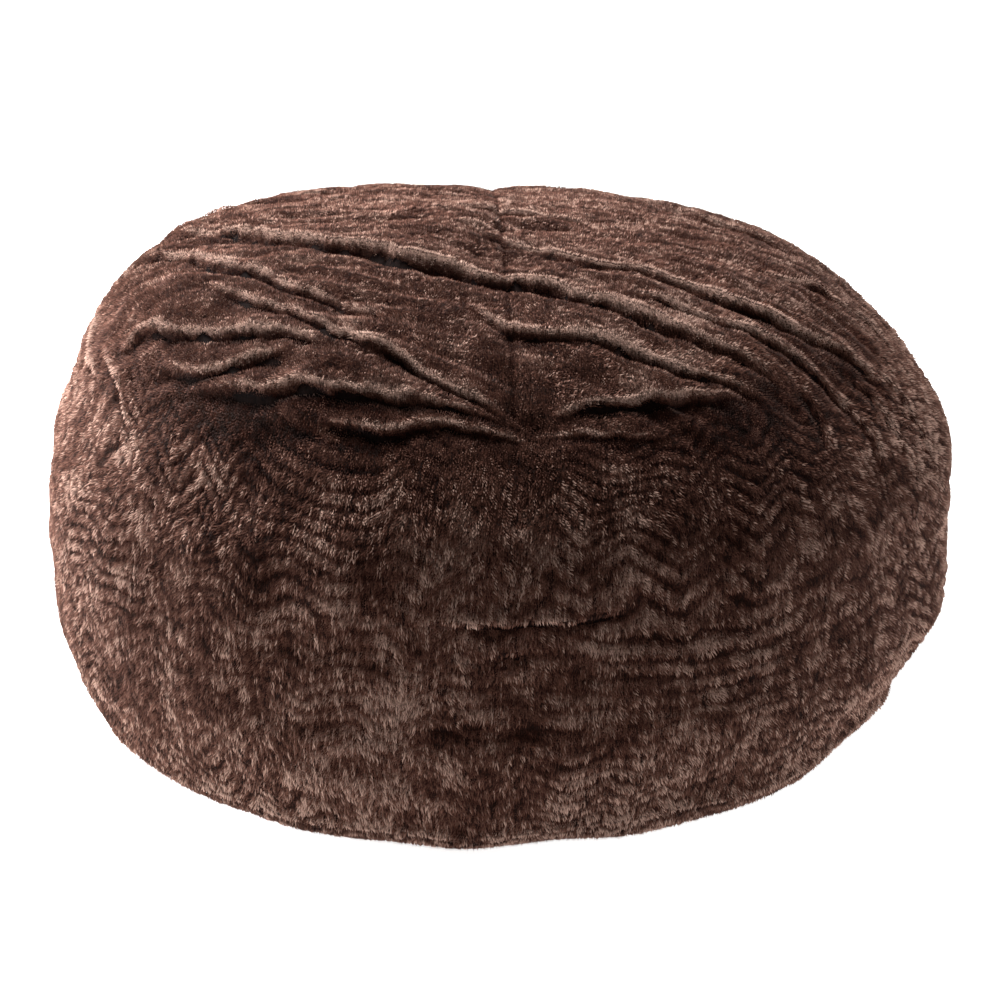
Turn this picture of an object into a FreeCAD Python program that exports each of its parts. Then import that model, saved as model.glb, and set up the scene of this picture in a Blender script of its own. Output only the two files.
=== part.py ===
"""Foam-filled bean bag chair: a fur cover over a lining bag full of shredded foam.

The bag is round and stands on a flat floor at z = 0, with the z axis through its middle and its front
seam towards -Y. Each bag is four panels and a round base, closed at the back by a zipper along the base
seam. Every layer is the outer shape moved inwards, so one outline of arcs serves the cover, the lining
and the foam. Lengths are millimetres and angles are degrees.
"""

import FreeCAD
import Part
import Sketcher
import math
import os

SIZES = [
    # overall shape
    ("width", 1520, "across the belly, pile included"),
    ("height", 860, "floor to crown"),
    ("flank_radius", 290, "round of the lower flank, from the floor to the upright wall"),
    ("shoulder_radius", 340, "round of the shoulder, from the upright wall to the crown"),
    ("crown_rise", 50, "crown above the highest point of the shoulder's round"),
    # layers
    ("cover_thickness", 14, "fur pile and its backing"),
    ("lining_thickness", 1, "woven lining cloth"),
    ("lining_slack", 10, "room between cover and lining at the wall and the crown"),
    ("lay_gap", 0.4, "between cloth pieces that lie on each other"),
    ("cover_seam_angle", 45, "base seam of the cover, down round the flank from the wall"),
    ("lining_seam_angle", 30, "base seam of the lining, down round the flank from the wall"),
    # zippers
    ("cover_zip_spread", 140, "stretch of the cover's base seam that opens"),
    ("lining_zip_spread", 100, "stretch of the lining's base seam that opens"),
    ("zip_end", 1.2, "bare tape at each end of a coil, as an angle"),
    ("cover_tape_depth", 8.5, "outer face of the tape below the tips of the pile"),
    ("opening_half", 10, "half of the slit between the two hems"),
    ("tape_inner", 1.2, "centre line to the inner edge of a tape"),
    ("tape_outer", 20, "centre line to the outer edge of a tape"),
    ("tape_thickness", 0.8, "woven tape"),
    ("coil_inner", 0.9, "centre line to the inner edge of a coil"),
    ("coil_outer", 4, "centre line to the outer edge of a coil"),
    ("coil_height", 2.2, "coil above its tape"),
    ("stop_length", 3, "end stop, along the coil"),
    ("stop_height", 2.8, "end stop above the tape"),
    # sliders
    ("slider_clearance", 0.5, "slider to tape and coil"),
    ("slider_length", 14, "along the coil"),
    ("slider_half", 5.8, "half of the slider's width"),
    ("slider_flange", 1.1, "side flange of the slider"),
    ("slider_plate", 1.2, "upper and lower plates"),
    ("slider_post", 0.6, "post between the two coils"),
    ("slider_post_length", 3, "post, along the coil"),
    # bridge, ring and pull tab of the cover's slider
    ("bridge_room", 4.6, "upper plate to the middle of the bridge"),
    ("bridge_bar", 1.4, "side of the square bar of the bridge"),
    ("bridge_length", 11, "outside the two legs"),
    ("ring_radius", 5, "middle of the wire"),
    ("ring_wire", 0.9, "radius of the wire"),
    ("hang_gap", 0.3, "ring to bridge and tab to ring, at rest"),
    ("tab_half", 4.5, "half of the tab's width"),
    ("tab_length", 26, "middle of the eye to the middle of the round end"),
    ("tab_thickness", 1.6, "pull tab"),
    ("tab_eye", 1.9, "radius of the eye"),
    ("tab_edge", 0.4, "rounding of the tab's edges"),
]

BACK = 90  # direction of the back seam, where both zippers have their middle
FRONT = 270


class Dim:
    """A size as a number, and as the sheet expression that keeps a constraint bound to it."""

    def __init__(self, value, text):
        self.value = value
        self.text = text

    def _join(self, sign, other, value):
        text = other.text if isinstance(other, Dim) else str(other)
        return Dim(value, "(%s %s %s)" % (self.text, sign, text))

    def __add__(self, other):
        return self._join("+", other, self.value + number(other))

    def __sub__(self, other):
        return self._join("-", other, self.value - number(other))

    def __mul__(self, other):
        return self._join("*", other, self.value * number(other))

    def __truediv__(self, other):
        return self._join("/", other, self.value / number(other))

    def __neg__(self):
        return Dim(-self.value, "(0 - %s)" % self.text)


def number(size):
    return size.value if isinstance(size, Dim) else size


def cosine(angle):
    return Dim(math.cos(math.radians(angle.value)), "cos(%s)" % angle.text)


def sine(angle):
    return Dim(math.sin(math.radians(angle.value)), "sin(%s)" % angle.text)


doc = FreeCAD.newDocument("BeanBag")
sheet = doc.addObject("Spreadsheet::Sheet", "Sizes")
for row, (alias, value, meaning) in enumerate(SIZES, start=1):
    sheet.set("A%d" % row, alias)
    sheet.set("B%d" % row, str(value))
    sheet.set("C%d" % row, meaning)
    sheet.setAlias("B%d" % row, alias)
doc.recompute()


def size(alias):
    return Dim(float(sheet.get(alias)), "Sizes." + alias)


ZERO = Dim(0.0, "0")
DEGREES_PER_RADIAN = 180 / math.pi


class Layer:
    """The outer outline moved inwards by inset, with its flank lowered by drop so that it sinks onto
    the layer below: its radii, heights and arc centres."""

    def __init__(self, inset, drop):
        self.flank_x = size("width") / 2 - size("flank_radius")
        self.flank_y = size("flank_radius") - drop
        self.flank_radius = size("flank_radius") - inset
        self.shoulder_x = size("width") / 2 - size("shoulder_radius")
        self.shoulder_y = size("height") - size("shoulder_radius") - size("crown_rise")
        self.shoulder_radius = size("shoulder_radius") - inset
        self.top = size("height") - inset
        self.wall = size("width") / 2 - inset
        # the crown is an arc about a point on the axis that meets the shoulder's arc smoothly
        across = self.shoulder_x.value
        down = self.top.value - self.shoulder_y.value
        round_off = self.shoulder_radius.value
        self.crown_radius = (across**2 + down**2 - round_off**2) / (2 * (down - round_off))
        self.crown_y = self.top.value - self.crown_radius
        self.crown_angle = math.atan2(self.shoulder_y.value - self.crown_y, across)

    def on_flank(self, angle):
        """The point of the flank that lies angle degrees down from the wall."""
        return (
            self.flank_x + self.flank_radius * cosine(angle),
            self.flank_y - self.flank_radius * sine(angle),
        )


cover_outside = Layer(ZERO, ZERO)
cover_inside = Layer(size("cover_thickness"), ZERO)
lining_inset = size("cover_thickness") + size("lining_slack")
lining_drop = size("lining_slack") - size("lay_gap")
lining_outside = Layer(lining_inset, lining_drop)
lining_inside = Layer(lining_inset + size("lining_thickness"), lining_drop)
foam_outside = Layer(lining_inset + size("lining_thickness") + size("lay_gap"), lining_drop)


# --- sketches -------------------------------------------------------------------------------------

START, END, CENTRE = 1, 2, 3
ORIGIN_POINT = (-1, 1)
X_AXIS, Y_AXIS = -1, -2


def new_body(label, turn=0.0):
    body = doc.addObject("PartDesign::Body", label)
    body.Label = label
    body.Placement = FreeCAD.Placement(
        FreeCAD.Vector(0, 0, 0), FreeCAD.Rotation(FreeCAD.Vector(0, 0, 1), turn)
    )
    return body


def origin_feature(body, role):
    return next(feature for feature in body.Origin.OriginFeatures if feature.Role == role)


def new_sketch(body, name, plane="XZ_Plane"):
    sketch = body.newObject("Sketcher::SketchObject", name)
    sketch.AttachmentSupport = (origin_feature(body, plane), "")
    sketch.MapMode = "FlatFace"
    return sketch


def bind(sketch, kind, *places, dim):
    """Add a dimension and tie it to the sheet. A size of nothing puts the point on the axis instead."""
    if dim is ZERO:
        axis = Y_AXIS if kind == "DistanceX" else X_AXIS
        sketch.addConstraint(Sketcher.Constraint("PointOnObject", places[-2], places[-1], axis))
        return
    index = sketch.addConstraint(Sketcher.Constraint(kind, *places, dim.value))
    sketch.setExpression("Constraints[%d]" % index, dim.text)


def add_line(sketch, start, end):
    points = [FreeCAD.Vector(number(x), number(y), 0) for x, y in (start, end)]
    return sketch.addGeometry(Part.LineSegment(*points), False)


def add_arc(sketch, centre, radius, low, high):
    middle = FreeCAD.Vector(number(centre[0]), number(centre[1]), 0)
    circle = Part.Circle(middle, FreeCAD.Vector(0, 0, 1), number(radius))
    return sketch.addGeometry(
        Part.ArcOfCircle(circle, math.radians(low), math.radians(high)), False
    )


def join(sketch, first, first_end, second, second_end, kind="Coincident"):
    sketch.addConstraint(Sketcher.Constraint(kind, first, first_end, second, second_end))


def polygon(sketch, corners):
    """A closed outline whose every corner is tied to the sheet."""
    count = len(corners)
    lines = [add_line(sketch, corners[i], corners[(i + 1) % count]) for i in range(count)]
    for i, line in enumerate(lines):
        join(sketch, line, END, lines[(i + 1) % count], START)
        bind(sketch, "DistanceX", *ORIGIN_POINT, line, START, dim=corners[i][0])
        bind(sketch, "DistanceY", *ORIGIN_POINT, line, START, dim=corners[i][1])


def rectangle(sketch, low_x, high_x, low_y, high_y):
    polygon(sketch, [(low_x, low_y), (high_x, low_y), (high_x, high_y), (low_x, high_y)])


def fix_centre(sketch, arc, x, y):
    bind(sketch, "DistanceX", *ORIGIN_POINT, arc, CENTRE, dim=x)
    bind(sketch, "DistanceY", *ORIGIN_POINT, arc, CENTRE, dim=y)


def upper_outline(sketch, layer, low_angle):
    """One layer's line from the flank, at low_angle below the wall, up to the crown: the flank's arc,
    the upright wall, the shoulder's arc and the crown's arc. Returns the first and the last of them."""
    shoulder_centre = (layer.shoulder_x, layer.shoulder_y)
    flank = add_arc(
        sketch, (layer.flank_x, layer.flank_y), layer.flank_radius, -low_angle.value, 0
    )
    wall = add_line(sketch, (layer.wall, layer.flank_y), (layer.wall, layer.shoulder_y))
    turn = math.degrees(layer.crown_angle)
    shoulder = add_arc(sketch, shoulder_centre, layer.shoulder_radius, 0, turn)
    crown = add_arc(sketch, (0, layer.crown_y), layer.crown_radius, turn, 90)
    fix_centre(sketch, flank, layer.flank_x, layer.flank_y)
    fix_centre(sketch, shoulder, *shoulder_centre)
    bind(sketch, "Radius", flank, dim=layer.flank_radius)
    bind(sketch, "Radius", shoulder, dim=layer.shoulder_radius)
    join(sketch, flank, END, wall, START, "Tangent")
    join(sketch, wall, END, shoulder, START, "Tangent")
    join(sketch, shoulder, END, crown, START, "Tangent")
    sketch.addConstraint(Sketcher.Constraint("PointOnObject", crown, CENTRE, Y_AXIS))
    sketch.addConstraint(Sketcher.Constraint("PointOnObject", crown, END, Y_AXIS))
    bind(sketch, "DistanceY", *ORIGIN_POINT, crown, END, dim=layer.top)
    return flank, crown


def lower_outline(sketch, layer, low_angle, high_angle):
    """One layer's line from the axis along the floor and up the flank to high_angle below the wall.
    Returns the floor line and the flank's arc."""
    floor_height = layer.flank_y - layer.flank_radius
    floor = add_line(sketch, (0, floor_height), (layer.flank_x, floor_height))
    flank = add_arc(
        sketch, (layer.flank_x, layer.flank_y), layer.flank_radius, -low_angle, -high_angle.value
    )
    fix_centre(sketch, flank, layer.flank_x, layer.flank_y)
    bind(sketch, "Radius", flank, dim=layer.flank_radius)
    join(sketch, floor, END, flank, START, "Tangent")
    sketch.addConstraint(Sketcher.Constraint("Horizontal", floor))
    sketch.addConstraint(Sketcher.Constraint("PointOnObject", floor, START, Y_AXIS))
    return floor, flank


def half_gap_angle(layer):
    """Half of the gap between panel and base, as an angle round the flank."""
    return size("lay_gap") / 2 / layer.flank_radius * DEGREES_PER_RADIAN


# --- features -------------------------------------------------------------------------------------


def turn_about_z(body, kind, name, sketch, angle, clockwise=False):
    """Revolve or groove the sketch about the body's z axis, from the sketch's plane onwards."""
    feature = body.newObject("PartDesign::" + kind, name)
    feature.Profile = sketch
    feature.ReferenceAxis = (origin_feature(body, "Z_Axis"), [""])
    feature.Reversed = clockwise
    if isinstance(angle, Dim):
        feature.setExpression("Angle", angle.text)
    else:
        feature.Angle = angle
    return feature


def pad_both_ways(body, name, sketch, length):
    pad = body.newObject("PartDesign::Pad", name)
    pad.Profile = sketch
    pad.Midplane = True
    pad.setExpression("Length", length.text)
    return pad


def cloth_panel(label, outside, inside, seam_angle, start, clockwise):
    """A quarter of a bag's side and top, from the seam at start to the next one."""
    body = new_body(label, start)
    sketch = new_sketch(body, label + "_outline")
    edge_angle = seam_angle - half_gap_angle(outside)
    outer_flank, outer_crown = upper_outline(sketch, outside, edge_angle)
    inner_flank, inner_crown = upper_outline(sketch, inside, edge_angle)
    outer_edge, inner_edge = outside.on_flank(edge_angle), inside.on_flank(edge_angle)
    axis = add_line(sketch, (0, outside.top), (0, inside.top))
    edge = add_line(sketch, inner_edge, outer_edge)
    join(sketch, outer_crown, END, axis, START)
    join(sketch, axis, END, inner_crown, END)
    join(sketch, inner_flank, START, edge, START)
    join(sketch, edge, END, outer_flank, START)
    bind(sketch, "DistanceX", *ORIGIN_POINT, outer_flank, START, dim=outer_edge[0])
    bind(sketch, "DistanceX", *ORIGIN_POINT, inner_flank, START, dim=inner_edge[0])
    turn_about_z(body, "Revolution", label + "_turn", sketch, 90.0, clockwise)
    return body


def cloth_base(label, outside, inside, seam_angle, start):
    """The round base of a bag: flat on the floor, and turned up to the base seam."""
    body = new_body(label, start)
    sketch = new_sketch(body, label + "_outline")
    edge_angle = seam_angle + half_gap_angle(outside)
    outer_floor, outer_flank = lower_outline(sketch, outside, 90, edge_angle)
    inner_floor, inner_flank = lower_outline(sketch, inside, 90, edge_angle)
    outer_edge, inner_edge = outside.on_flank(edge_angle), inside.on_flank(edge_angle)
    edge = add_line(sketch, outer_edge, inner_edge)
    axis = add_line(
        sketch,
        (0, inside.flank_y - inside.flank_radius),
        (0, outside.flank_y - outside.flank_radius),
    )
    join(sketch, outer_flank, END, edge, START)
    join(sketch, edge, END, inner_flank, END)
    join(sketch, inner_floor, START, axis, START)
    join(sketch, axis, END, outer_floor, START)
    bind(sketch, "DistanceX", *ORIGIN_POINT, outer_flank, END, dim=outer_edge[0])
    bind(sketch, "DistanceX", *ORIGIN_POINT, inner_flank, END, dim=inner_edge[0])
    turn_about_z(body, "Revolution", label + "_turn", sketch, 360.0)
    return body


class Zipper:
    """Where one zipper lies: on the base seam of a bag's outer face, with its middle at the back.
    Heights are measured outwards from that face, and widths up and down the flank from the seam."""

    def __init__(self, layer, seam_angle, spread, tape_top):
        self.seam_angle = seam_angle
        self.spread = spread
        self.point = layer.on_flank(seam_angle)
        self.tape_top = tape_top
        self.tape_low = tape_top - size("tape_thickness")
        self.coil_low = tape_top + size("lay_gap")
        self.coil_top = self.coil_low + size("coil_height")
        self.first = BACK - spread.value / 2  # its right-hand end, seen from above
        self.coil_spread = spread - size("zip_end") * 2
        self.coil_first = self.first + sheet.get("zip_end")

    def angle_of(self, length):
        """A length along the seam as an angle about the z axis."""
        return length / self.point[0] * DEGREES_PER_RADIAN

    def section(self, body, name):
        """A sketch across the seam: its x axis points out of the cloth, its y axis up the flank."""
        sketch = new_sketch(body, name)
        sketch.AttachmentOffset = FreeCAD.Placement(
            FreeCAD.Vector(0, 0, 0), FreeCAD.Rotation(FreeCAD.Vector(0, 0, 1), -1)
        )
        sketch.setExpression("AttachmentOffset.Base.x", self.point[0].text)
        sketch.setExpression("AttachmentOffset.Base.y", self.point[1].text)
        sketch.setExpression("AttachmentOffset.Rotation.Angle", (-self.seam_angle).text)
        return sketch

    def place(self, direction):
        """The frame of a slider: x out of the cloth, y along the coil, z up the flank."""
        turn = FreeCAD.Rotation(FreeCAD.Vector(0, 0, 1), direction)
        lean = FreeCAD.Rotation(FreeCAD.Vector(0, 1, 0), self.seam_angle.value)
        radius, height = self.point[0].value, self.point[1].value
        spot = turn.multVec(FreeCAD.Vector(radius, 0, height))
        return FreeCAD.Placement(spot, turn.multiply(lean))


def strip(label, zipper, low, high, inner, outer, first, spread):
    """A tape, coil or stop: a flat bar bent round the base seam."""
    body = new_body(label, first)
    sketch = zipper.section(body, label + "_section")
    rectangle(sketch, low, high, inner, outer)
    turn_about_z(body, "Revolution", label + "_turn", sketch, spread)
    return body


def cut_slit(body, zipper, side, through, slotted, angle, clockwise=False):
    """Leave room for the zipper along one edge of a panel or base: the slit itself and, in thick cloth,
    the slot that holds the tape's edge. side is 1 on the panels, above the seam, and -1 on the base."""
    margin = size("lay_gap")
    slit_edge = size("opening_half") * side
    past_seam = margin * -side
    clear_out = size("cover_thickness")
    corners = [(-through, past_seam), (-through, slit_edge)]
    if slotted:
        slot_end = (size("tape_outer") + margin) * side
        low, high = zipper.tape_low - margin, zipper.tape_top + margin
        corners += [(low, slit_edge), (low, slot_end), (high, slot_end), (high, slit_edge)]
    corners += [(clear_out, slit_edge), (clear_out, past_seam)]
    sketch = zipper.section(body, body.Label + "_slit")
    polygon(sketch, corners)
    turn_about_z(body, "Groove", body.Label + "_groove", sketch, angle, clockwise)


def make_bag(prefix, outside, inside, zipper, slotted):
    """The four panels and the base of one bag, open along its zipper."""
    through = size("cover_thickness") * 2
    half_spread = zipper.spread / 2
    panels = [
        ("front_left_panel", FRONT, True, False),
        ("front_right_panel", FRONT, False, False),
        ("back_left_panel", BACK, False, True),
        ("back_right_panel", BACK, True, True),
    ]
    for name, start, clockwise, at_zipper in panels:
        panel = cloth_panel(
            prefix + name, outside, inside, zipper.seam_angle, start, clockwise
        )
        if at_zipper:
            cut_slit(panel, zipper, 1, through, slotted, half_spread, clockwise)
    base = cloth_base(prefix + "base_panel", outside, inside, zipper.seam_angle, zipper.first)
    cut_slit(base, zipper, -1, through, slotted, zipper.spread)


def make_zipper(prefix, zipper):
    """Two tapes with a coil each, and the metal stops at the two ends."""
    gap = size("lay_gap")
    tape = (size("tape_inner"), size("tape_outer"))
    coil = (size("coil_inner"), size("coil_outer"))
    for side, flip in (("upper", 1), ("lower", -1)):
        strip(
            prefix + side + "_tape", zipper, zipper.tape_low, zipper.tape_top,
            tape[0] * flip, tape[1] * flip, zipper.first, zipper.spread,
        )
        strip(
            prefix + side + "_coil", zipper, zipper.coil_low, zipper.coil_top,
            coil[0] * flip, coil[1] * flip, zipper.coil_first, zipper.coil_spread,
        )
    stop_spread = zipper.angle_of(size("stop_length"))
    stop_gap = zipper.angle_of(gap)
    before = zipper.coil_first - stop_gap.value - stop_spread.value
    after = zipper.coil_first + zipper.coil_spread.value + stop_gap.value
    for name, first in (("open_end_stop", before), ("closed_end_stop", after)):
        strip(
            prefix + name, zipper, zipper.coil_low, zipper.tape_top + size("stop_height"),
            -coil[1], coil[1], first, stop_spread,
        )


def slider_direction(zipper):
    """A closed zipper's slider rests against the last stop, at the left-hand end."""
    half_length = zipper.angle_of(size("slider_length") / 2)
    return zipper.coil_first + zipper.coil_spread.value - half_length.value


def make_slider(label, zipper):
    """Upper plate with side flanges, a post between the coils and a lower plate."""
    body = new_body(label)
    body.Placement = zipper.place(slider_direction(zipper))
    clearance, half = size("slider_clearance"), size("slider_half")
    within = half - size("slider_flange")
    plate_low = zipper.coil_top + clearance
    plate_top = plate_low + size("slider_plate")
    flange_low = zipper.tape_top + clearance
    back_top = zipper.tape_low - clearance
    back_low = back_top - size("slider_plate")
    upper = new_sketch(body, label + "_upper_section")
    polygon(upper, [
        (plate_top, -half), (plate_top, half), (flange_low, half), (flange_low, within),
        (plate_low, within), (plate_low, -within), (flange_low, -within), (flange_low, -half),
    ])
    pad_both_ways(body, label + "_upper", upper, size("slider_length"))
    post = new_sketch(body, label + "_post_section")
    post_half = size("slider_post") / 2
    rectangle(post, back_top, plate_low, -post_half, post_half)
    pad_both_ways(body, label + "_post", post, size("slider_post_length"))
    lower = new_sketch(body, label + "_lower_section")
    rectangle(lower, back_low, back_top, -half, half)
    pad_both_ways(body, label + "_lower", lower, size("slider_length"))
    return body, plate_top


def add_bridge(body, plate_top, bridge_middle):
    """The staple on the slider's upper plate that the ring hangs from."""
    bar_half, end = size("bridge_bar") / 2, size("bridge_length") / 2
    leg = end - size("bridge_bar")
    bar_top, bar_low = bridge_middle + bar_half, bridge_middle - bar_half
    sketch = new_sketch(body, body.Label + "_bridge_outline", "XY_Plane")
    polygon(sketch, [
        (plate_top, -end), (bar_top, -end), (bar_top, end), (plate_top, end),
        (plate_top, leg), (bar_low, leg), (bar_low, -leg), (plate_top, -leg),
    ])
    pad_both_ways(body, body.Label + "_bridge", sketch, size("bridge_bar"))


def make_ring(label, bridge_point, direction):
    """A wire ring in the upright plane across the coil, hanging from the bridge."""
    corner_reach = size("bridge_bar") / 2 * math.sqrt(2)
    drop = size("ring_radius") - size("ring_wire") - size("hang_gap") - corner_reach
    ring = doc.addObject("Part::Torus", label)
    ring.Label = label
    ring.setExpression("Radius1", size("ring_radius").text)
    ring.setExpression("Radius2", size("ring_wire").text)
    middle = bridge_point - FreeCAD.Vector(0, 0, drop.value)
    turn = FreeCAD.Rotation(FreeCAD.Vector(0, 0, 1), direction)
    upright = FreeCAD.Rotation(FreeCAD.Vector(1, 0, 0), 90)
    ring.Placement = FreeCAD.Placement(middle, turn.multiply(upright))
    return middle - FreeCAD.Vector(0, 0, sheet.get("ring_radius"))


def make_tab(label, wire_point, direction):
    """A flat tab with two round ends, hanging by its eye from the lowest point of the ring."""
    body = new_body(label)
    eye_drop = sheet.get("tab_eye") - sheet.get("ring_wire") - sheet.get("hang_gap")
    body.Placement = FreeCAD.Placement(
        wire_point - FreeCAD.Vector(0, 0, eye_drop),
        FreeCAD.Rotation(FreeCAD.Vector(0, 0, 1), direction),
    )
    half, length = size("tab_half"), size("tab_length")
    sketch = new_sketch(body, label + "_outline", "YZ_Plane")
    upper = add_arc(sketch, (0, 0), half, 0, 180)
    left = add_line(sketch, (-half, 0), (-half, -length))
    lower = add_arc(sketch, (0, -length), half, 180, 360)
    right = add_line(sketch, (half, -length), (half, 0))
    join(sketch, upper, END, left, START, "Tangent")
    join(sketch, left, END, lower, START, "Tangent")
    join(sketch, lower, END, right, START, "Tangent")
    join(sketch, right, END, upper, START, "Tangent")
    sketch.addConstraint(Sketcher.Constraint("Coincident", upper, CENTRE, *ORIGIN_POINT))
    sketch.addConstraint(Sketcher.Constraint("PointOnObject", lower, CENTRE, Y_AXIS))
    bind(sketch, "Radius", upper, dim=half)
    bind(sketch, "DistanceY", lower, CENTRE, *ORIGIN_POINT, dim=length)
    eye = sketch.addGeometry(
        Part.Circle(FreeCAD.Vector(0, 0, 0), FreeCAD.Vector(0, 0, 1), sheet.get("tab_eye")), False
    )
    sketch.addConstraint(Sketcher.Constraint("Coincident", eye, CENTRE, *ORIGIN_POINT))
    bind(sketch, "Radius", eye, dim=size("tab_eye"))
    pad = pad_both_ways(body, label + "_plate", sketch, size("tab_thickness"))
    doc.recompute()
    round_edges = [
        "Edge%d" % (i + 1)
        for i, edge in enumerate(pad.Shape.Edges)
        if abs(edge.BoundBox.XLength) < 1e-6
        and edge.BoundBox.YLength > 2 * sheet.get("tab_eye") + 1e-3
    ]
    fillet = body.newObject("PartDesign::Fillet", label + "_rounding")
    fillet.Base = (pad, round_edges)
    fillet.setExpression("Radius", size("tab_edge").text)


# --- the bean bag ---------------------------------------------------------------------------------


def make_foam(zipper):
    """The foam fill as one closed solid, pressed in along the lining's zipper."""
    body = new_body("foam_fill", zipper.first - sheet.get("zip_end"))
    sketch = new_sketch(body, "foam_outline")
    right_angle = Dim(90.0, "90")
    flank, crown = upper_outline(sketch, foam_outside, right_angle)
    floor_height = foam_outside.flank_y - foam_outside.flank_radius
    floor = add_line(sketch, (0, floor_height), (foam_outside.flank_x, floor_height))
    axis = add_line(sketch, (0, foam_outside.top), (0, floor_height))
    join(sketch, floor, END, flank, START, "Tangent")
    join(sketch, crown, END, axis, START)
    join(sketch, axis, END, floor, START)
    sketch.addConstraint(Sketcher.Constraint("Horizontal", floor))
    sketch.addConstraint(Sketcher.Constraint("Vertical", axis))
    turn_about_z(body, "Revolution", "foam_turn", sketch, 360.0)
    pressed = zipper.section(body, "foam_pressed_section")
    clearance = size("slider_clearance")
    depth = zipper.tape_low - clearance * 2 - size("slider_plate")
    reach = size("tape_outer") + clearance
    rectangle(pressed, depth, size("slider_plate"), -reach, reach)
    turn_about_z(
        body, "Groove", "foam_groove", pressed, zipper.spread + size("zip_end") * 2
    )


cover_zip = Zipper(
    cover_outside, size("cover_seam_angle"), size("cover_zip_spread"), -size("cover_tape_depth")
)
# the lining curves away from its flat tape, so the tape lies that much further in
tape_sag = size("tape_outer") * size("tape_outer") / 2 / lining_inside.flank_radius
lining_zip = Zipper(
    lining_outside,
    size("lining_seam_angle"),
    size("lining_zip_spread"),
    -size("lining_thickness") - size("lay_gap") - tape_sag,
)

make_bag("cover_", cover_outside, cover_inside, cover_zip, slotted=True)
make_bag("lining_", lining_outside, lining_inside, lining_zip, slotted=False)
make_foam(lining_zip)
make_zipper("cover_zip_", cover_zip)
make_zipper("lining_zip_", lining_zip)
make_slider("lining_zip_slider", lining_zip)
cover_slider, cover_plate_top = make_slider("cover_zip_slider", cover_zip)
bridge_height = cover_plate_top + size("bridge_room")
add_bridge(cover_slider, cover_plate_top, bridge_height)
pull_direction = slider_direction(cover_zip)
bridge_spot = cover_slider.Placement.multVec(FreeCAD.Vector(bridge_height.value, 0, 0))
ring_bottom = make_ring("cover_zip_pull_ring", bridge_spot, pull_direction)
make_tab("cover_zip_pull_tab", ring_bottom, pull_direction)
doc.recompute()


# --- checks and files -----------------------------------------------------------------------------

for thing in doc.Objects:
    if "Invalid" in thing.State or "Error" in thing.State:
        raise RuntimeError("%s did not build: %s" % (thing.Label, thing.State))
    if thing.isDerivedFrom("Sketcher::SketchObject") and thing.solve() != 0:
        raise RuntimeError("%s can't be solved" % thing.Label)

os.makedirs("parts", exist_ok=True)
pieces = [
    thing for thing in doc.Objects if thing.TypeId in ("PartDesign::Body", "Part::Torus")
]
for piece in pieces:
    shape = piece.Shape
    if shape.isNull() or not shape.isValid() or len(shape.Solids) != 1:
        raise RuntimeError("%s is not one sound solid" % piece.Label)
    shape.exportStep(os.path.join("parts", piece.Label + ".step"))
    print("%-28s %14.0f mm3" % (piece.Label, shape.Volume))
for name, spot in (("bridge", bridge_spot), ("bottom of ring", ring_bottom)):
    print(name, [round(value, 3) for value in spot])
for name, zipper in (("cover", cover_zip), ("lining", lining_zip)):
    travel = zipper.coil_spread.value - 2 * zipper.angle_of(size("slider_length") / 2).value
    print(name, "slider at", round(slider_direction(zipper), 3), "travel", round(travel, 3))
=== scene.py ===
import math

import bmesh
import bpy
import numpy as np
from bpy.props import FloatProperty, FloatVectorProperty, IntProperty, PointerProperty
from mathutils import Matrix, Vector, noise


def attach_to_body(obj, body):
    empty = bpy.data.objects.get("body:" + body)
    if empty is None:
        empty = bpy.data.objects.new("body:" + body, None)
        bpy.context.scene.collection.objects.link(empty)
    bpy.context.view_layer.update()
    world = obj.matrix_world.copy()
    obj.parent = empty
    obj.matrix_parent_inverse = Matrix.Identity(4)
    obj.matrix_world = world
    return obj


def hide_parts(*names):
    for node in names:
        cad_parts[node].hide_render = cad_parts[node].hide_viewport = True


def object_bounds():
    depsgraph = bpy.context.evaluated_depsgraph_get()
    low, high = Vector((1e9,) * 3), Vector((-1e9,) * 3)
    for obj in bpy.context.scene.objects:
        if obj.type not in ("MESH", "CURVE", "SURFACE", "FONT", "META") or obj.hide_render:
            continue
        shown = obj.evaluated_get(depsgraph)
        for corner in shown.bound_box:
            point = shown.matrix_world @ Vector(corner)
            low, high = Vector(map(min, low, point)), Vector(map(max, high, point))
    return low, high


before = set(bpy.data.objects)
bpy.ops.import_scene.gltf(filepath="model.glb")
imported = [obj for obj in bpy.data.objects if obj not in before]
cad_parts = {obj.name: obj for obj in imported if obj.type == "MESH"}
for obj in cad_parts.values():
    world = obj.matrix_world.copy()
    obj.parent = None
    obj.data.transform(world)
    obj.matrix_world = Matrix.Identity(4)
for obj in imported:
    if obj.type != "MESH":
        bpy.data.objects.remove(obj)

bl_info = {
    "name": "Plush Bean Bag",
    "version": (1, 0, 0),
    "blender": (4, 5, 0),
    "location": "View3D > Sidebar > Bean Bag",
    "description": "A foam-filled bean bag with a plush cover, its lining and its zippers",
    "category": "Object",
}

CAD_LOW, CAD_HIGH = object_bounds()
BAG_RADIUS = CAD_HIGH.x
BAG_HEIGHT = CAD_HIGH.z
MM = 0.001
UV_NAME = "OFBake"
UNDER_SPARE = 6 * MM
MADE_OUTLINES = []

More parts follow.
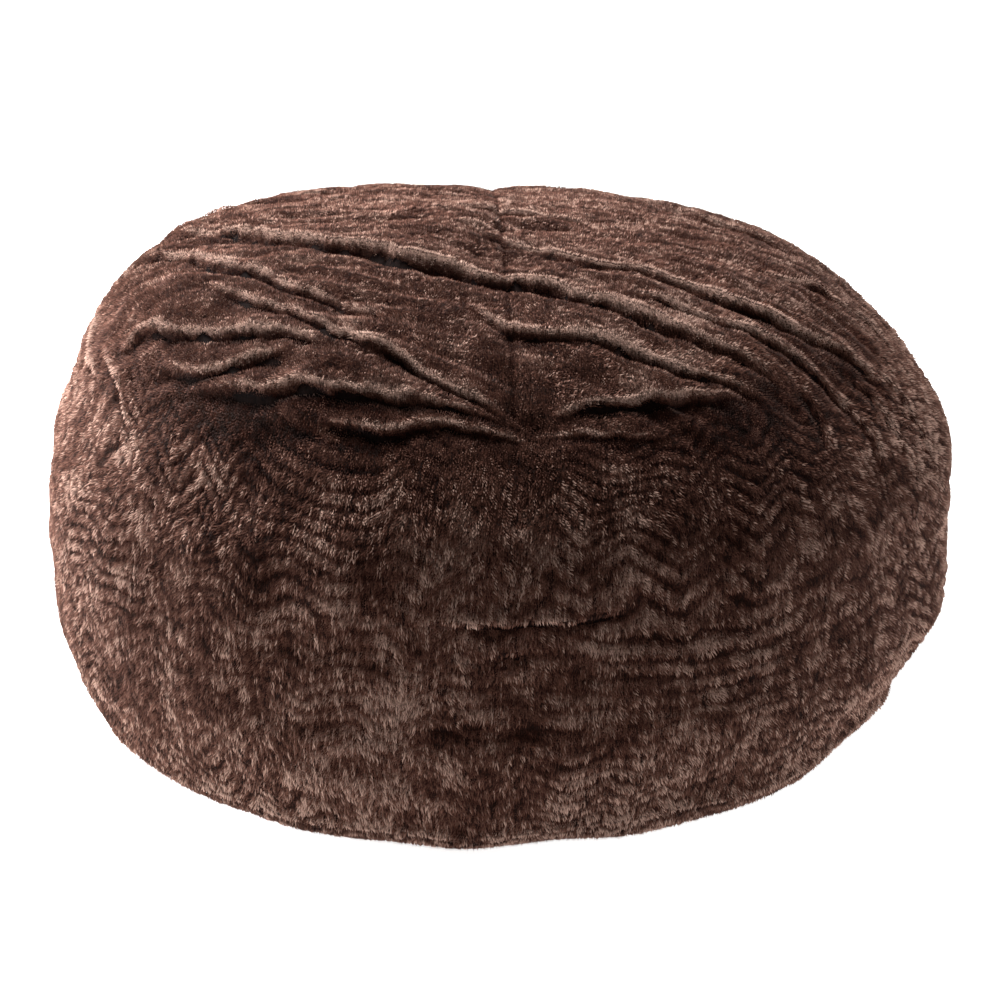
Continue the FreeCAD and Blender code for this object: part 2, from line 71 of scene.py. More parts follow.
# What a combed sheet holds for its pile, and how the pile is set.
COMBED = ("nap", "streak", "wall", "stand", "phase", "patch", "tone", "reach", "cover")
CROWDING = 1.6                            # tufts tried for each place that one can stand in
CLUMP_SCALE, BREAK_SCALE, BREAK_UP = 115.0, 55.0, 1.1
LOCK_LEAN, OWN_LEAN, LOCK_TONE = 1.6, 0.18, 1.5
# The locks that lie low are darkened: painted shade in the gaps between them.
GAP_BELOW, GAP_SHADE = 0.45, 4.0          # between the locks the pile is darker
BAND_CROP, SOFTNESS = 0.6, 0.55
STRANDS, STRAND_SHADE = 150.0, 0.36       # hairs to a tuft, and how far they differ
HAIR_WIDTH, HAIR_LENGTH = 0.0016, 0.011
GRAIN_SHARE = 0.4

# The four quarter panels: the quarter and where it starts, in quarter turns from the right-hand seam.
QUARTERS = (("back_right", 0), ("back_left", 1), ("front_left", 2), ("front_right", 3))

# Folds of the slack cover. Their points lie on the cover laid out flat from the middle of its top, in metres
# to the right and to the back. Walking along a fold, its steep side is on the right. Then come its rise, its
# drop and its width, in millimetres.
FOLDS = (
    # across the top, from the back left to the right-hand shoulder
    (((-0.58, 0.21), (-0.39, -0.01), (-0.25, -0.13), (-0.01, -0.26), (0.25, -0.40), (0.47, -0.47)),
     16, 26, 34),
    (((-0.60, 0.07), (-0.41, -0.19), (-0.28, -0.33), (-0.17, -0.40)), 12, 18, 28),
    (((-0.08, 0.00), (0.09, -0.17), (0.21, -0.21), (0.34, -0.26), (0.56, -0.33)), 10, 14, 32),
    (((-0.07, -0.33), (0.01, -0.43), (0.14, -0.46), (0.25, -0.50), (0.41, -0.52)), 12, 18, 26),
    # running into the pinched point at the front rim
    (((-0.49, -0.21), (-0.35, -0.35), (-0.24, -0.44), (-0.11, -0.55), (0.02, -0.64)), 12, 18, 24),
    (((-0.51, -0.43), (-0.43, -0.49), (-0.28, -0.55), (-0.13, -0.60), (0.01, -0.63)), 14, 20, 22),
    (((-0.30, -0.60), (-0.14, -0.64), (0.03, -0.66)), 12, 12, 20),
    (((0.04, -0.64), (0.12, -0.60), (0.25, -0.57), (0.37, -0.53)), 12, 18, 24),
    (((0.03, -0.66), (0.14, -0.65), (0.26, -0.63)), 6, 8, 18),
    # the pocket at the left front rim
    (((-0.62, -0.26), (-0.57, -0.28), (-0.45, -0.37), (-0.33, -0.42), (-0.26, -0.47)), 14, 20, 24),
    (((-0.55, -0.37), (-0.43, -0.45), (-0.32, -0.46)), 11, 14, 18),
    # fanned over the right-hand shoulder
    (((0.18, -0.31), (0.30, -0.34), (0.43, -0.37), (0.61, -0.43)), 9, 12, 18),
    (((0.29, -0.24), (0.39, -0.28), (0.50, -0.30), (0.60, -0.31), (0.67, -0.37)), 9, 13, 20),
    (((0.38, -0.10), (0.51, -0.10), (0.64, -0.09), (0.69, -0.15)), 7, 10, 24),
    (((0.47, -0.43), (0.51, -0.49), (0.53, -0.57)), 7, 10, 14),
    (((0.52, -0.40), (0.61, -0.45), (0.66, -0.52)), 8, 12, 15),
    (((0.58, -0.35), (0.67, -0.40), (0.73, -0.47)), 6, 10, 14),
    (((0.62, -0.28), (0.71, -0.32), (0.78, -0.39)), 6, 9, 14),
    # down the left-hand shoulder
    (((-0.67, -0.03), (-0.69, -0.16), (-0.68, -0.28)), 8, 9, 18),
    (((-0.65, -0.20), (-0.63, -0.33), (-0.64, -0.42)), 8, 10, 16),
    # shallow ones over the back half
    (((-0.13, 0.14), (0.04, 0.09), (0.17, 0.06)), 5, 7, 30),
    (((-0.54, 0.25), (-0.40, 0.31), (-0.20, 0.30), (-0.08, 0.33)), 5, 8, 30),
    (((0.22, 0.28), (0.38, 0.14), (0.52, 0.06)), 6, 8, 28),
    (((0.40, 0.47), (0.16, 0.57), (-0.10, 0.58), (-0.34, 0.50)), 6, 12, 30),
    (((0.64, 0.22), (0.60, 0.36), (0.50, 0.50)), 6, 9, 26),
    (((-0.46, 0.52), (-0.60, 0.38), (-0.68, 0.22)), 6, 9, 26),
    # round the wall
    (((-0.16, -0.941), (-0.06, -0.949), (0.05, -0.948), (0.14, -0.941), (0.22, -0.930)), 6, 15, 16),
    (((-0.10, -1.0), (0.09, -1.003)), 3, 8, 15),
    (((-0.26, -1.11), (0.0, -1.12), (0.20, -1.12)), 2, 3, 30),
    (((0.30, 0.90), (0.06, 0.96), (-0.22, 0.93)), 3, 10, 24),
    (((-0.86, 0.36), (-0.93, 0.10), (-0.91, -0.16)), 4, 7, 20),
    (((0.93, -0.20), (0.95, 0.04), (0.90, 0.26)), 4, 7, 20),
)

# Where the seams are pulled in: place on the laid-out cover, in metres, then depth and width in millimetres.
PINCHES = (
    ((0.03, -0.645), 22, 42),
    ((-0.02, 0.68), 16, 50),
    ((-0.88, -0.05), 12, 50),
    ((0.87, 0.05), 9, 50),
)


def smooth_step(value, start, end):
    """From 0 at start to 1 at end, without a corner at either."""
    share = np.clip((np.asarray(value, float) - start) / (end - start), 0, 1)
    return share * share * (3 - 2 * share)


def bell(value, width):
    """1 where value is 0, falling off to nothing over about two widths."""
    return np.exp(-np.square(np.asarray(value, float) / width))


def rumple(places, size, seed):
    """Soft noise of about -1 to 1 at each place, with lumps of that size."""
    return 2 * np.array([noise.noise(Vector(p)) for p in np.asarray(places) / size + seed])


# ---------------------------------------------------------------------------------------------------------
# Sizes and colours
# ---------------------------------------------------------------------------------------------------------

def length(name, description, default):
    return FloatProperty(name=name, description=description, default=default, unit="LENGTH", precision=4)


def angle(name, description, default):
    return FloatProperty(name=name, description=description, default=math.radians(default), subtype="ANGLE")


def power(name, description, default):
    return FloatProperty(name=name, description=description, default=default, unit="POWER")


def colour(name, description, default):
    return FloatVectorProperty(name=name, description=description, default=default, subtype="COLOR",
                               min=0, max=1)


class BagShape(bpy.types.PropertyGroup):
    """The round outline and how the cover is made up"""

    shoulder_radius: length("Shoulder radius", "Radius of the outline between the top and the wall", 0.34)
    flank_radius: length("Flank radius", "Radius of the outline between the wall and the base", 0.29)
    crown_rise: length("Crown rise", "How far the middle of the top stands above the shoulder's arc", 0.05)
    cover_seam: angle("Cover base seam", "How far below level the base seam faces", 45)
    lining_seam: angle("Lining base seam", "The same for the lining's base seam", 30)
    pile: length("Pile", "Depth of the pile over the cover's knitted backing", 0.007)
    root: length("Root", "Depth of the backing's face under the pile's roots", 0.0025)
    cover: length("Cover", "Thickness of the cover, backing and pile together", 0.014)
    slack: length("Slack", "Room between the cover and the lining", 0.010)
    lining: length("Lining", "Thickness of the lining cloth, seams included", 0.0012)
    cell: length("Cloth cell", "Size of a face of the cover's cloth, down its wall", 0.0070)
    stretch: FloatProperty(name="Cell stretch", description="A face's width over its height", default=1.3)
    opening: length("Zipper opening", "Half of the gap that the cover's panels leave over the zipper", 0.010)
    zip_spread: angle("Zipper spread", "How far round the back the zipper runs", 140)


class PileFinish(bpy.types.PropertyGroup):
    """The plush pile"""

    spacing: length("Spacing", "Closest distance between two tufts", 0.0027)
    tuft: length("Tuft length", "Length of a tuft of pile", 0.0072)
    width: length("Tuft width", "Width of a tuft at its root", 0.0032)
    # The dark end of this range also serves for painted shade: under the fold crests and the rim, in the
    # seams and in the gaps between locks. The pale end also serves for painted highlights on the crests and
    # painted sheen on the bands.
    root: colour("Crushed", "Colour where the pile is crushed", (0.006, 0.0018, 0.0010))
    dark_tip: colour("Dark tip", "Colour of the darker tips", (0.031, 0.0090, 0.0050))
    mid_tip: colour("Middle tip", "Colour of most tips", (0.110, 0.048, 0.033))
    pale_tip: colour("Pale tip", "Colour of the paler tips", (0.410, 0.262, 0.208))
    # The bands show in the tufts' length, and as painted sheen and painted shade in their tone.
    banding: FloatProperty(name="Banding", description="How strongly the brushed bands show", default=0.56,
                           min=0, max=1)
    harshness: FloatProperty(name="Harshness", description="How far each tuft is shaded on its own",
                             default=0.12, min=0, max=1)
    seed: IntProperty(name="Seed", description="Which scatter of tufts is used", default=7)


class StudioSettings(bpy.types.PropertyGroup):
    """Camera and light"""

    distance: length("Distance", "From the camera to the middle of the bag", 5.0)
    height: length("Aim height", "Height of the point that the camera looks at", 0.386)
    elevation: angle("Elevation", "How far the camera looks down", 20)
    azimuth: angle("Azimuth", "How far the camera stands round to the left", 2)
    lens: FloatProperty(name="Lens", description="Focal length in millimetres", default=105.7, min=20)
    key: power("Key light", "Power of the light behind and above, left", 460)
    top: power("Top light", "Power of the light overhead", 290)
    left: power("Left light", "Power of the light at the left", 300)
    right: power("Right light", "Power of the light at the right", 135)
    fill: power("Fill light", "Power of the soft light in front", 34)


# ---------------------------------------------------------------------------------------------------------
# The cover's form
# ---------------------------------------------------------------------------------------------------------

class Outline:
    """The bag's half outline, by the distance along it from the middle of the top to that of the base."""

    STEPS = 6000

    def __init__(self, shape):
        reach = BAG_RADIUS - shape.shoulder_radius
        drop = shape.shoulder_radius + shape.crown_rise
        crown_radius = (reach**2 + drop**2 - shape.shoulder_radius**2) / (2 * shape.crown_rise)
        lean = math.atan2(crown_radius - drop, reach)
        wall = BAG_HEIGHT - drop - shape.flank_radius
        quarter = math.pi / 2
        runs = (
            (crown_radius * (quarter - lean), lean),
            (shape.shoulder_radius * lean, 0.0),
            (wall, 0.0),
            (shape.flank_radius * quarter, -quarter),
            (BAG_RADIUS - shape.flank_radius, -quarter),
        )
        self.breaks = np.concatenate([[0.0], np.cumsum([run for run, _ in runs])])
        self.facings = np.array([quarter, *(facing for _, facing in runs)])
        self.end = float(self.breaks[-1])
        self.wall_top, self.wall_foot, self.floor = (float(b) for b in self.breaks[2:5])
        self.table = np.linspace(0, self.end, self.STEPS)
        facing = self.facing(self.table)
        step = self.table[1]
        middle = (facing[1:] + facing[:-1]) / 2
        self.radii = np.concatenate([[0.0], np.cumsum(np.sin(middle)) * step])
        self.heights = BAG_HEIGHT - np.concatenate([[0.0], np.cumsum(np.cos(middle)) * step])

    def facing(self, along):
        """How far above level the outline faces there."""
        return np.interp(along, self.breaks, self.facings)

    def at(self, along):
        """Radius and height there."""
        return np.interp(along, self.table, self.radii), np.interp(along, self.table, self.heights)

    def seam(self, below_level):
        """Where the outline faces that far below level."""
        return self.wall_foot + below_level / (math.pi / 2) * (self.floor - self.wall_foot)


def smooth_route(points, spacing=0.02):
    """The points of a smooth curve through the given ones, close together."""
    given = np.array([points[0], *points, points[-1]], float)
    found = []
    for a, b, c, d in zip(given, given[1:], given[2:], given[3:]):
        count = max(2, math.ceil(np.linalg.norm(c - b) / spacing))
        for share in np.arange(count) / count:
            found.append(
                0.5 * (2 * b + (c - a) * share + (2 * a - 5 * b + 4 * c - d) * share**2
                       + (3 * b - a - 3 * c + d) * share**3)
            )
    return np.array([*found, given[-1]])


def beside(places, route):
    """For each place: its distance from the route, positive on the left, its share of the way along, and the
    direction to the right there."""
    starts, ends = route[:-1], route[1:]
    runs = ends - starts
    lengths = np.linalg.norm(runs, axis=1)
    away = places[:, None, :] - starts[None]
    share = np.clip((away * runs).sum(2) / lengths**2, 0, 1)
    off = away - share[:, :, None] * runs
    far = np.linalg.norm(off, axis=2)
    nearest = far.argmin(1)
    row = np.arange(len(places))
    ahead = runs[nearest] / lengths[nearest][:, None]
    offset = off[row, nearest]
    side = np.where(ahead[:, 0] * offset[:, 1] - ahead[:, 1] * offset[:, 0] >= 0, 1.0, -1.0)
    way = (np.concatenate([[0], np.cumsum(lengths)])[nearest] + share[row, nearest] * lengths[nearest])
    right = np.stack([ahead[:, 1], -ahead[:, 0]], 1)
    return side * far[row, nearest], way / lengths.sum(), right


def folded(flat):
    """How far each place on the laid-out cover is lifted by the folds, how far it slips sideways, its
    painted light: a painted highlight along each crest and painted shade on the steep side below it, where
    the tufts are also laid shorter, and how far the folds press in what lies under them."""
    lift, show, press = np.zeros((3, len(flat)))
    slip = np.zeros((len(flat), 2))
    for points, rise, drop, width in FOLDS:
        weight = rise / 14
        rise, drop, width = 1.05 * rise * MM, 0.74 * drop * MM, width * MM
        route = smooth_route(points)
        reach = 3.5 * width
        near = ((flat > route.min(0) - reach) & (flat < route.max(0) + reach)).all(1)
        if not near.any():
            continue
        off, way, right = beside(flat[near], route)
        strength = 1 - np.abs(2 * way - 1) ** 3
        back, front = np.maximum(off, 0), np.maximum(-off, 0) / (0.36 * width)
        crest = rise * np.where(off > 0, np.exp(-back / width), bell(front, 0.9))
        trough = drop * front * np.exp(1 - front)
        lift[near] += strength * (crest - trough)
        slip[near] += (strength * 0.55 * rise * bell(off, 0.4 * width))[:, None] * right
        # Painted highlight along each crest, weaker low on the wall and towards the back, and painted shade
        # on the steep side below it, stronger low on the wall.
        under_crest = bell(front - 0.9, 0.5) + 0.45 * bell(front - 2.2, 1.4)
        low = smooth_step(np.linalg.norm(flat[near], axis=1), 0.80, 0.95)
        crest_highlight = (1.5 - 0.9 * low) * (1 - 0.7 * smooth_step(flat[near, 1], 0.10, 0.30))
        dark = min(0.8, 0.35 + 0.4 * weight) * (1 + 1.2 * low)
        show[near] += strength * (min(1.2, 0.3 + weight) * crest_highlight * bell(off - 0.002, 0.0042)
                                  - dark * under_crest * (off < 0))
        press[near] += strength * drop * bell(off + 0.3 * width, 1.2 * width)
    return lift, slip, show, press


def around(turn, middle):
    """Turn less middle, brought to between minus and plus half a turn."""
    return (np.asarray(turn) - middle + math.pi) % (2 * math.pi) - math.pi


def toward(turn, outwards, upwards):
    """At each turn, the vector or place that far out from the upright axis and that far up."""
    return np.stack([outwards * np.cos(turn), outwards * np.sin(turn), upwards], 1)


def brushed(turn, along, outline):
    """The wavy bands down the wall, where the nap was brushed one way and then the other: how many waves
    round each place is, how many bands down, and how strongly the bands show there."""
    places = toward(turn, *outline.at(along))
    wall = 1 - smooth_step(outline.facing(along), math.radians(30), math.radians(65))
    drift = rumple(places, 0.16, 41.0)
    wave = turn * BAG_RADIUS / 0.125 + 0.20 * drift + 0.6 * rumple(places, 0.5, 47.0)
    zigzag = np.abs(wave % 1.0 - 0.5) * 2
    phase = (along + 0.060 * zigzag * (0.6 + 0.38 * rumple(places, 0.25, 45.0)) + 0.018 * drift) / 0.029
    patchy = wall * (0.42 + 0.58 * smooth_step(rumple(places, 0.20, 51.0), -0.5, 0.4))
    patchy *= 1 - 0.6 * bell(around(turn, -math.pi / 2), math.radians(17)) * bell(along - 0.85, 0.14)
    return wave, phase, patchy


def settled(turn, along, outline, shape, under=False):
    """Where the slack cover lies. Takes how far round and how far along the outline each point is, and
    returns the point, the direction in which the plain outline faces there, the painted light of its pile
    (painted highlights along the fold crests and over the base seam, painted shade below the crests, under
    the rim and in the seams), and how free the cover is to move. What is under the cover is only pressed in
    by its folds."""
    front = -math.pi / 2
    seam = outline.seam(shape.cover_seam)
    _, phase, patchy = brushed(turn, along, outline)
    radius, height = outline.at(along)
    facing = outline.facing(along)

    # The zippers keep to their place, so the cover is calm round the lower back.
    behind = 1 - smooth_step(np.abs(around(turn, -front)), math.radians(76), math.radians(96))
    calm = 1 - behind * smooth_step(along, seam - 0.24, seam - 0.12)
    on_floor = 1 - smooth_step(along, outline.floor - 0.10, outline.floor)
    free = calm * on_floor

    # The front seam was sewn a little crooked: to the right at the rim, to the left near the base.
    pull = 0.030 * bell(along - 0.60, 0.20) - 0.012 * smooth_step(along, 0.85, 1.10)
    pull = pull * bell(around(turn, front), math.radians(14)) / np.maximum(radius, 0.1)
    turn = turn + pull * free

    flat = along[:, None] * np.stack([np.cos(turn), np.sin(turn)], 1)
    flat_3d = np.concatenate([flat, np.zeros((len(flat), 1))], 1)
    wander = np.stack([rumple(flat_3d, size, seed) for size, seed in ((0.10, 3.0), (0.10, 9.0))], 1)
    quiver = np.stack([rumple(flat_3d, size, seed) for size, seed in ((0.032, 4.0), (0.032, 6.0))], 1)
    lift, slip, show, press = folded(flat + 0.008 * wander + 0.0028 * quiver)
    if under:
        lift, slip = -press, 0 * slip
    for place, depth, width in PINCHES:
        far = np.linalg.norm(flat - place, axis=1)
        lift -= depth * MM * bell(far, width * MM) + 0.4 * depth * MM * bell(far, 3 * width * MM)

    # Fuller at the left, flatter at the right, and lumpy where the foam lies unevenly.
    left, right = np.clip(-np.cos(turn), 0, 1), np.clip(np.cos(turn), 0, 1)
    degrees = np.degrees(facing)
    lift += 0.013 * bell(degrees - 85, 18) + 0.054 * left * bell(degrees - 64, 20)
    lift += 0.024 * left * bell(degrees + 48, 20) - 0.012 * left * bell(degrees - 28, 14)
    lift -= 0.013 * right * np.sin(2 * facing) ** 2 * (facing > 0) + 0.042 * right * bell(degrees + 26, 22)
    lift += 0.008 * right * bell(degrees, 25)
    outward = toward(turn, np.cos(facing), np.sin(facing))
    plain = toward(turn, radius, height)
    lift += 0.006 * rumple(plain, 0.30, 1.0) + 0.0035 * rumple(plain, 0.12, 5.0)

    # Small creases run across the top, and softer ones along the wall.
    top = smooth_step(facing, math.radians(25), math.radians(60))
    along_folds = flat @ np.array([[0.90, 0.44], [-0.44, 0.90]])
    drawn_out = np.c_[6.0 * along_folds[:, 0], 21.0 * along_folds[:, 1], 0.0 * turn]
    ridges = 1 - 2 * np.abs(rumple(drawn_out, 1.0, 21.0))
    lift += 0.0042 * top * ridges
    lift += 0.0016 * top * rumple(plain, 0.022, 25.0)
    lift += 0.0022 * (1 - top) * rumple(plain * (2.0, 2.0, 9.0), 0.35, 31.0)
    lift -= 0.0026 * patchy * (0.5 + 0.5 * np.sin(2 * math.pi * phase)) ** 3

    # The top's rim stands over the front of the wall as a soft ledge, with painted shade on the wall below
    # it.
    rim = bell(around(turn, front - math.radians(38)), math.radians(26))
    rim += bell(around(turn, front + math.radians(36)), math.radians(24))
    lift += rim * (0.004 * bell(degrees - 60, 7) - 0.007 * bell(degrees - 44, 8))
    show = show - 0.85 * rim * bell(degrees - 45, 11)

    # The quarter seams and the base seam draw the cloth in. A painted highlight lies on the roll just above
    # the base seam, and painted shade in the base seam and along the quarter seams, more of it over the top.
    nearest_seam = np.abs(around(4 * turn, 0.0)) / 4 * np.maximum(radius, 0.02)
    above_base = smooth_step(seam - along, 0.0, 0.05)
    groove = 0.0045 * bell(nearest_seam, 0.007) + 0.0025 * bell(nearest_seam, 0.03)
    lift -= above_base * (0.3 + 0.4 * top) * groove
    lift += 0.007 * bell(along - seam + 0.018, 0.012) - 0.011 * bell(along - seam, 0.008)
    show = show + 0.6 * bell(along - seam + 0.018, 0.008) - 1.3 * bell(along - seam, 0.006)
    show = show - (0.15 + 0.45 * top) * above_base * bell(nearest_seam, 0.004)

    down = toward(turn, np.sin(facing), -np.cos(facing))
    round_way = np.stack([-np.sin(turn), np.cos(turn), np.zeros(len(turn))], 1)
    outwards = (slip * np.stack([np.cos(turn), np.sin(turn)], 1)).sum(1)
    sideways = (slip * round_way[:, :2]).sum(1)
    places = plain + (free * (lift - UNDER_SPARE * under))[:, None] * outward
    places += (free * outwards)[:, None] * down + (free * sideways)[:, None] * round_way
    return places, outward, show, free


class Puff:
    """How the slack cover moves when it is blown up softly: a cloth simulation of a coarse copy, held where
    the cover is tight, with more cloth than it needs over the top. Sheets look up their movement here."""

    CELL = 0.022
    FRAMES = 20
    PRESSURE = 3.0
    EXTRA = 0.10
    MOST = 0.006
    HOLD = 0.06
    SWELL_ROWS, SWELL_COLUMNS = 5, 9

    def __init__(self, outline, shape):
        self.rows = round(outline.end / self.CELL)
        self.columns = round(2 * math.pi * BAG_RADIUS / self.CELL)
        self.step = outline.end / self.rows
        self.moved = np.zeros((self.rows + 1, self.columns, 3))
        bm = spun_sheet(0.0, 2 * math.pi, np.linspace(0, outline.end, self.rows + 1), self.columns)
        turn, along = spread(bm)
        start, _, _, free = settled(turn, along, outline, shape)
        place(bm, start)
        copy = new_piece("puff", faced_out(bm), None)
        slack = smooth_step(outline.facing(along), math.radians(20), math.radians(55))
        for name, weights in (("held", 1 - (1 - self.HOLD) * free * slack), ("slack", slack)):
            group = copy.vertex_groups.new(name=name)
            for index, weight in enumerate(weights):
                group.add([index], float(weight), "REPLACE")
        cloth = copy.modifiers.new("cloth", "CLOTH")
        settings = cloth.settings
        settings.quality = 5
        settings.mass = 0.4
        settings.use_pressure = True
        settings.uniform_pressure_force = self.PRESSURE
        settings.effector_weights.gravity = 0
        settings.vertex_group_mass = "held"
        settings.vertex_group_shrink = "slack"
        settings.shrink_min, settings.shrink_max = 0.0, -self.EXTRA
        settings.bending_stiffness = 0.6
        cloth.point_cache.frame_start, cloth.point_cache.frame_end = 1, self.FRAMES
        scene = bpy.context.scene
        for frame_number in range(1, self.FRAMES + 1):
            scene.frame_set(frame_number)
        graph = bpy.context.evaluated_depsgraph_get()
        result = np.array([v.co[:] for v in copy.evaluated_get(graph).data.vertices])
        scene.frame_set(1)
        bpy.data.objects.remove(copy)
        row = np.rint(along / self.step).astype(int)
        column = np.rint(turn % (2 * math.pi) / (2 * math.pi) * self.columns).astype(int) % self.columns
        self.moved[row, column] = (result - start) * free[:, None]
        self.moved[0] = self.moved[0, column[row == 0]].mean(0)
        self.moved[-1] = 0

        # The bag keeps its size: only the wrinkles are kept, not the swelling.
        swell = self.moved.copy()
        for axis, reach in ((0, self.SWELL_ROWS), (1, self.SWELL_COLUMNS)):
            for _ in range(2):
                swell = sum(self.slid(swell, by, axis) for by in range(-reach, reach + 1)) / (2 * reach + 1)
        self.moved -= swell
        size = np.linalg.norm(self.moved, axis=2, keepdims=True)
        self.moved *= self.MOST * np.tanh(size / self.MOST) / np.maximum(size, 1e-9)
        self.moved *= smooth_step(np.arange(self.rows + 1) * self.step, 0.02, 0.10)[:, None, None]

    def slid(self, grid, by, axis):
        """The grid moved along one axis. Round the bag it closes on itself; down the bag its ends hold."""
        if axis == 1:
            return np.roll(grid, by, 1)
        return grid[np.clip(np.arange(len(grid)) + by, 0, len(grid) - 1)]

    def at(self, turn, along):
        """The movement at each turn and along."""
        down = np.clip(along / self.step, 0, self.rows - 1e-6)
        across = turn % (2 * math.pi) / (2 * math.pi) * self.columns
        row, column = down.astype(int), across.astype(int) % self.columns
        u, v = (down - row)[:, None], (across - np.floor(across))[:, None]
        right = (column + 1) % self.columns
        return ((1 - u) * ((1 - v) * self.moved[row, column] + v * self.moved[row, right])
                + u * ((1 - v) * self.moved[row + 1, column] + v * self.moved[row + 1, right]))


def bag_outline(shape):
    """The outline with its cover's movement, worked out the first time it is asked for."""
    if not MADE_OUTLINES:
        outline = Outline(shape)
        outline.puff = Puff(outline, shape)
        MADE_OUTLINES.append(outline)
    return MADE_OUTLINES[0]


def opened(turn, along, seam, shape):
    """Along, drawn back from the base seam where the cover leaves a gap over its zipper."""
    from_middle = np.abs(around(turn, math.pi / 2))
    ends = shape.zip_spread / 2
    gap = shape.opening * (1 - smooth_step(from_middle, ends - 0.016, ends + 0.012))
    room = 0.05
    pull = gap * smooth_step(room - np.abs(along - seam), 0.0, room)
    return along - pull if along.mean() < seam else along + pull


# ---------------------------------------------------------------------------------------------------------
# Mesh helpers
# ---------------------------------------------------------------------------------------------------------

def ranked(bm):
    """The mesh with its edges and faces in the order of their points: spinning leaves them in no fixed one,
    and tufts are drawn face by face."""
    bm.verts.index_update()
    count = len(bm.verts)

    def rank(part):
        first, second, *others = sorted(vert.index for vert in part.verts)
        return (first * count + second) * count + max(others, default=0)

    bm.edges.sort(key=rank)
    bm.faces.sort(key=rank)
    return bm


def spun_sheet(start, end, rows, columns):
    """A bmesh sheet spun about the upright axis between two turns. Each vertex holds its distance along the
    outline in the layer "along", and stands in for its place: radius along, so that its turn can be read."""
    bm = bmesh.new()
    held = bm.verts.layers.float.new("along")
    row = []
    for along in rows:
        vert = bm.verts.new((along * math.cos(start), along * math.sin(start), 0))
        vert[held] = along
        row.append(vert)
    for a, b in zip(row, row[1:]):
        bm.edges.new((a, b))
    whole = abs(end - start - 2 * math.pi) < 1e-6
    bmesh.ops.spin(bm, geom=bm.verts[:] + bm.edges[:], cent=(0, 0, 0), axis=(0, 0, 1), angle=end - start,
                   steps=columns, use_merge=whole)
    bmesh.ops.remove_doubles(bm, verts=[v for v in bm.verts if v.co.length < 1e-4], dist=1e-3)
    return ranked(bm)


def spread(bm):
    """Turn and along of every vertex of a spun sheet."""
    held = bm.verts.layers.float["along"]
    co = np.array([v.co[:] for v in bm.verts])
    return np.arctan2(co[:, 1], co[:, 0]), np.array([v[held] for v in bm.verts])


def place(bm, places):
    for vert, co in zip(bm.verts, places):
        vert.co = co


def new_piece(name, bm, material):
    """A mesh object at the origin, made from a bmesh and wearing one material."""
    mesh = bpy.data.meshes.new(name)
    bm.to_mesh(mesh)
    bm.free()
    if material:
        mesh.materials.append(material)
    mesh.polygons.foreach_set("use_smooth", [True] * len(mesh.polygons))
    piece = bpy.data.objects.new(name, mesh)
    bpy.context.scene.collection.objects.link(piece)
    return piece


def applied(piece):
    """Makes what the piece's modifiers give its own mesh."""
    bpy.context.view_layer.update()
    graph = bpy.context.evaluated_depsgraph_get()
    mesh = bpy.data.meshes.new_from_object(piece.evaluated_get(graph), depsgraph=graph)
    piece.modifiers.clear()
    piece.data = mesh
    return piece


def attach(piece, slot, *nodes):
    """The piece belongs to the bag, and stands for these CAD nodes."""
    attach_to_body(piece, "bag")
    if nodes:
        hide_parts(*nodes)
    return piece


def faced_out(bm):
    """The sheet, with its faces turned away from the middle of the bag."""
    bmesh.ops.recalc_face_normals(bm, faces=bm.faces)
    middle = Vector((0, 0, BAG_HEIGHT / 2))
    if sum(f.normal.dot(f.calc_center_median() - middle) for f in bm.faces) < 0:
        bmesh.ops.reverse_faces(bm, faces=bm.faces)
    return bm


def shell(name, sheet, inner, material):
    """A closed piece from its fine outer sheet and its coarser inner one, joined along their rims."""
    lining = bpy.data.meshes.new("inner")
    inner.to_mesh(lining)
    inner.free()
    outer_rim = [e for e in sheet.edges if e.is_boundary]
    old = set(sheet.edges)
    sheet.from_mesh(lining)
    bpy.data.meshes.remove(lining)
    inner_rim = [e for e in sheet.edges if e not in old and e.is_boundary]
    bmesh.ops.bridge_loops(sheet, edges=outer_rim + inner_rim)
    bmesh.ops.triangulate(sheet, faces=[f for f in sheet.faces if len(f.verts) > 4])
    bmesh.ops.recalc_face_normals(sheet, faces=sheet.faces)
    return new_piece(name, sheet, material)


# ---------------------------------------------------------------------------------------------------------
# Pile
# ---------------------------------------------------------------------------------------------------------

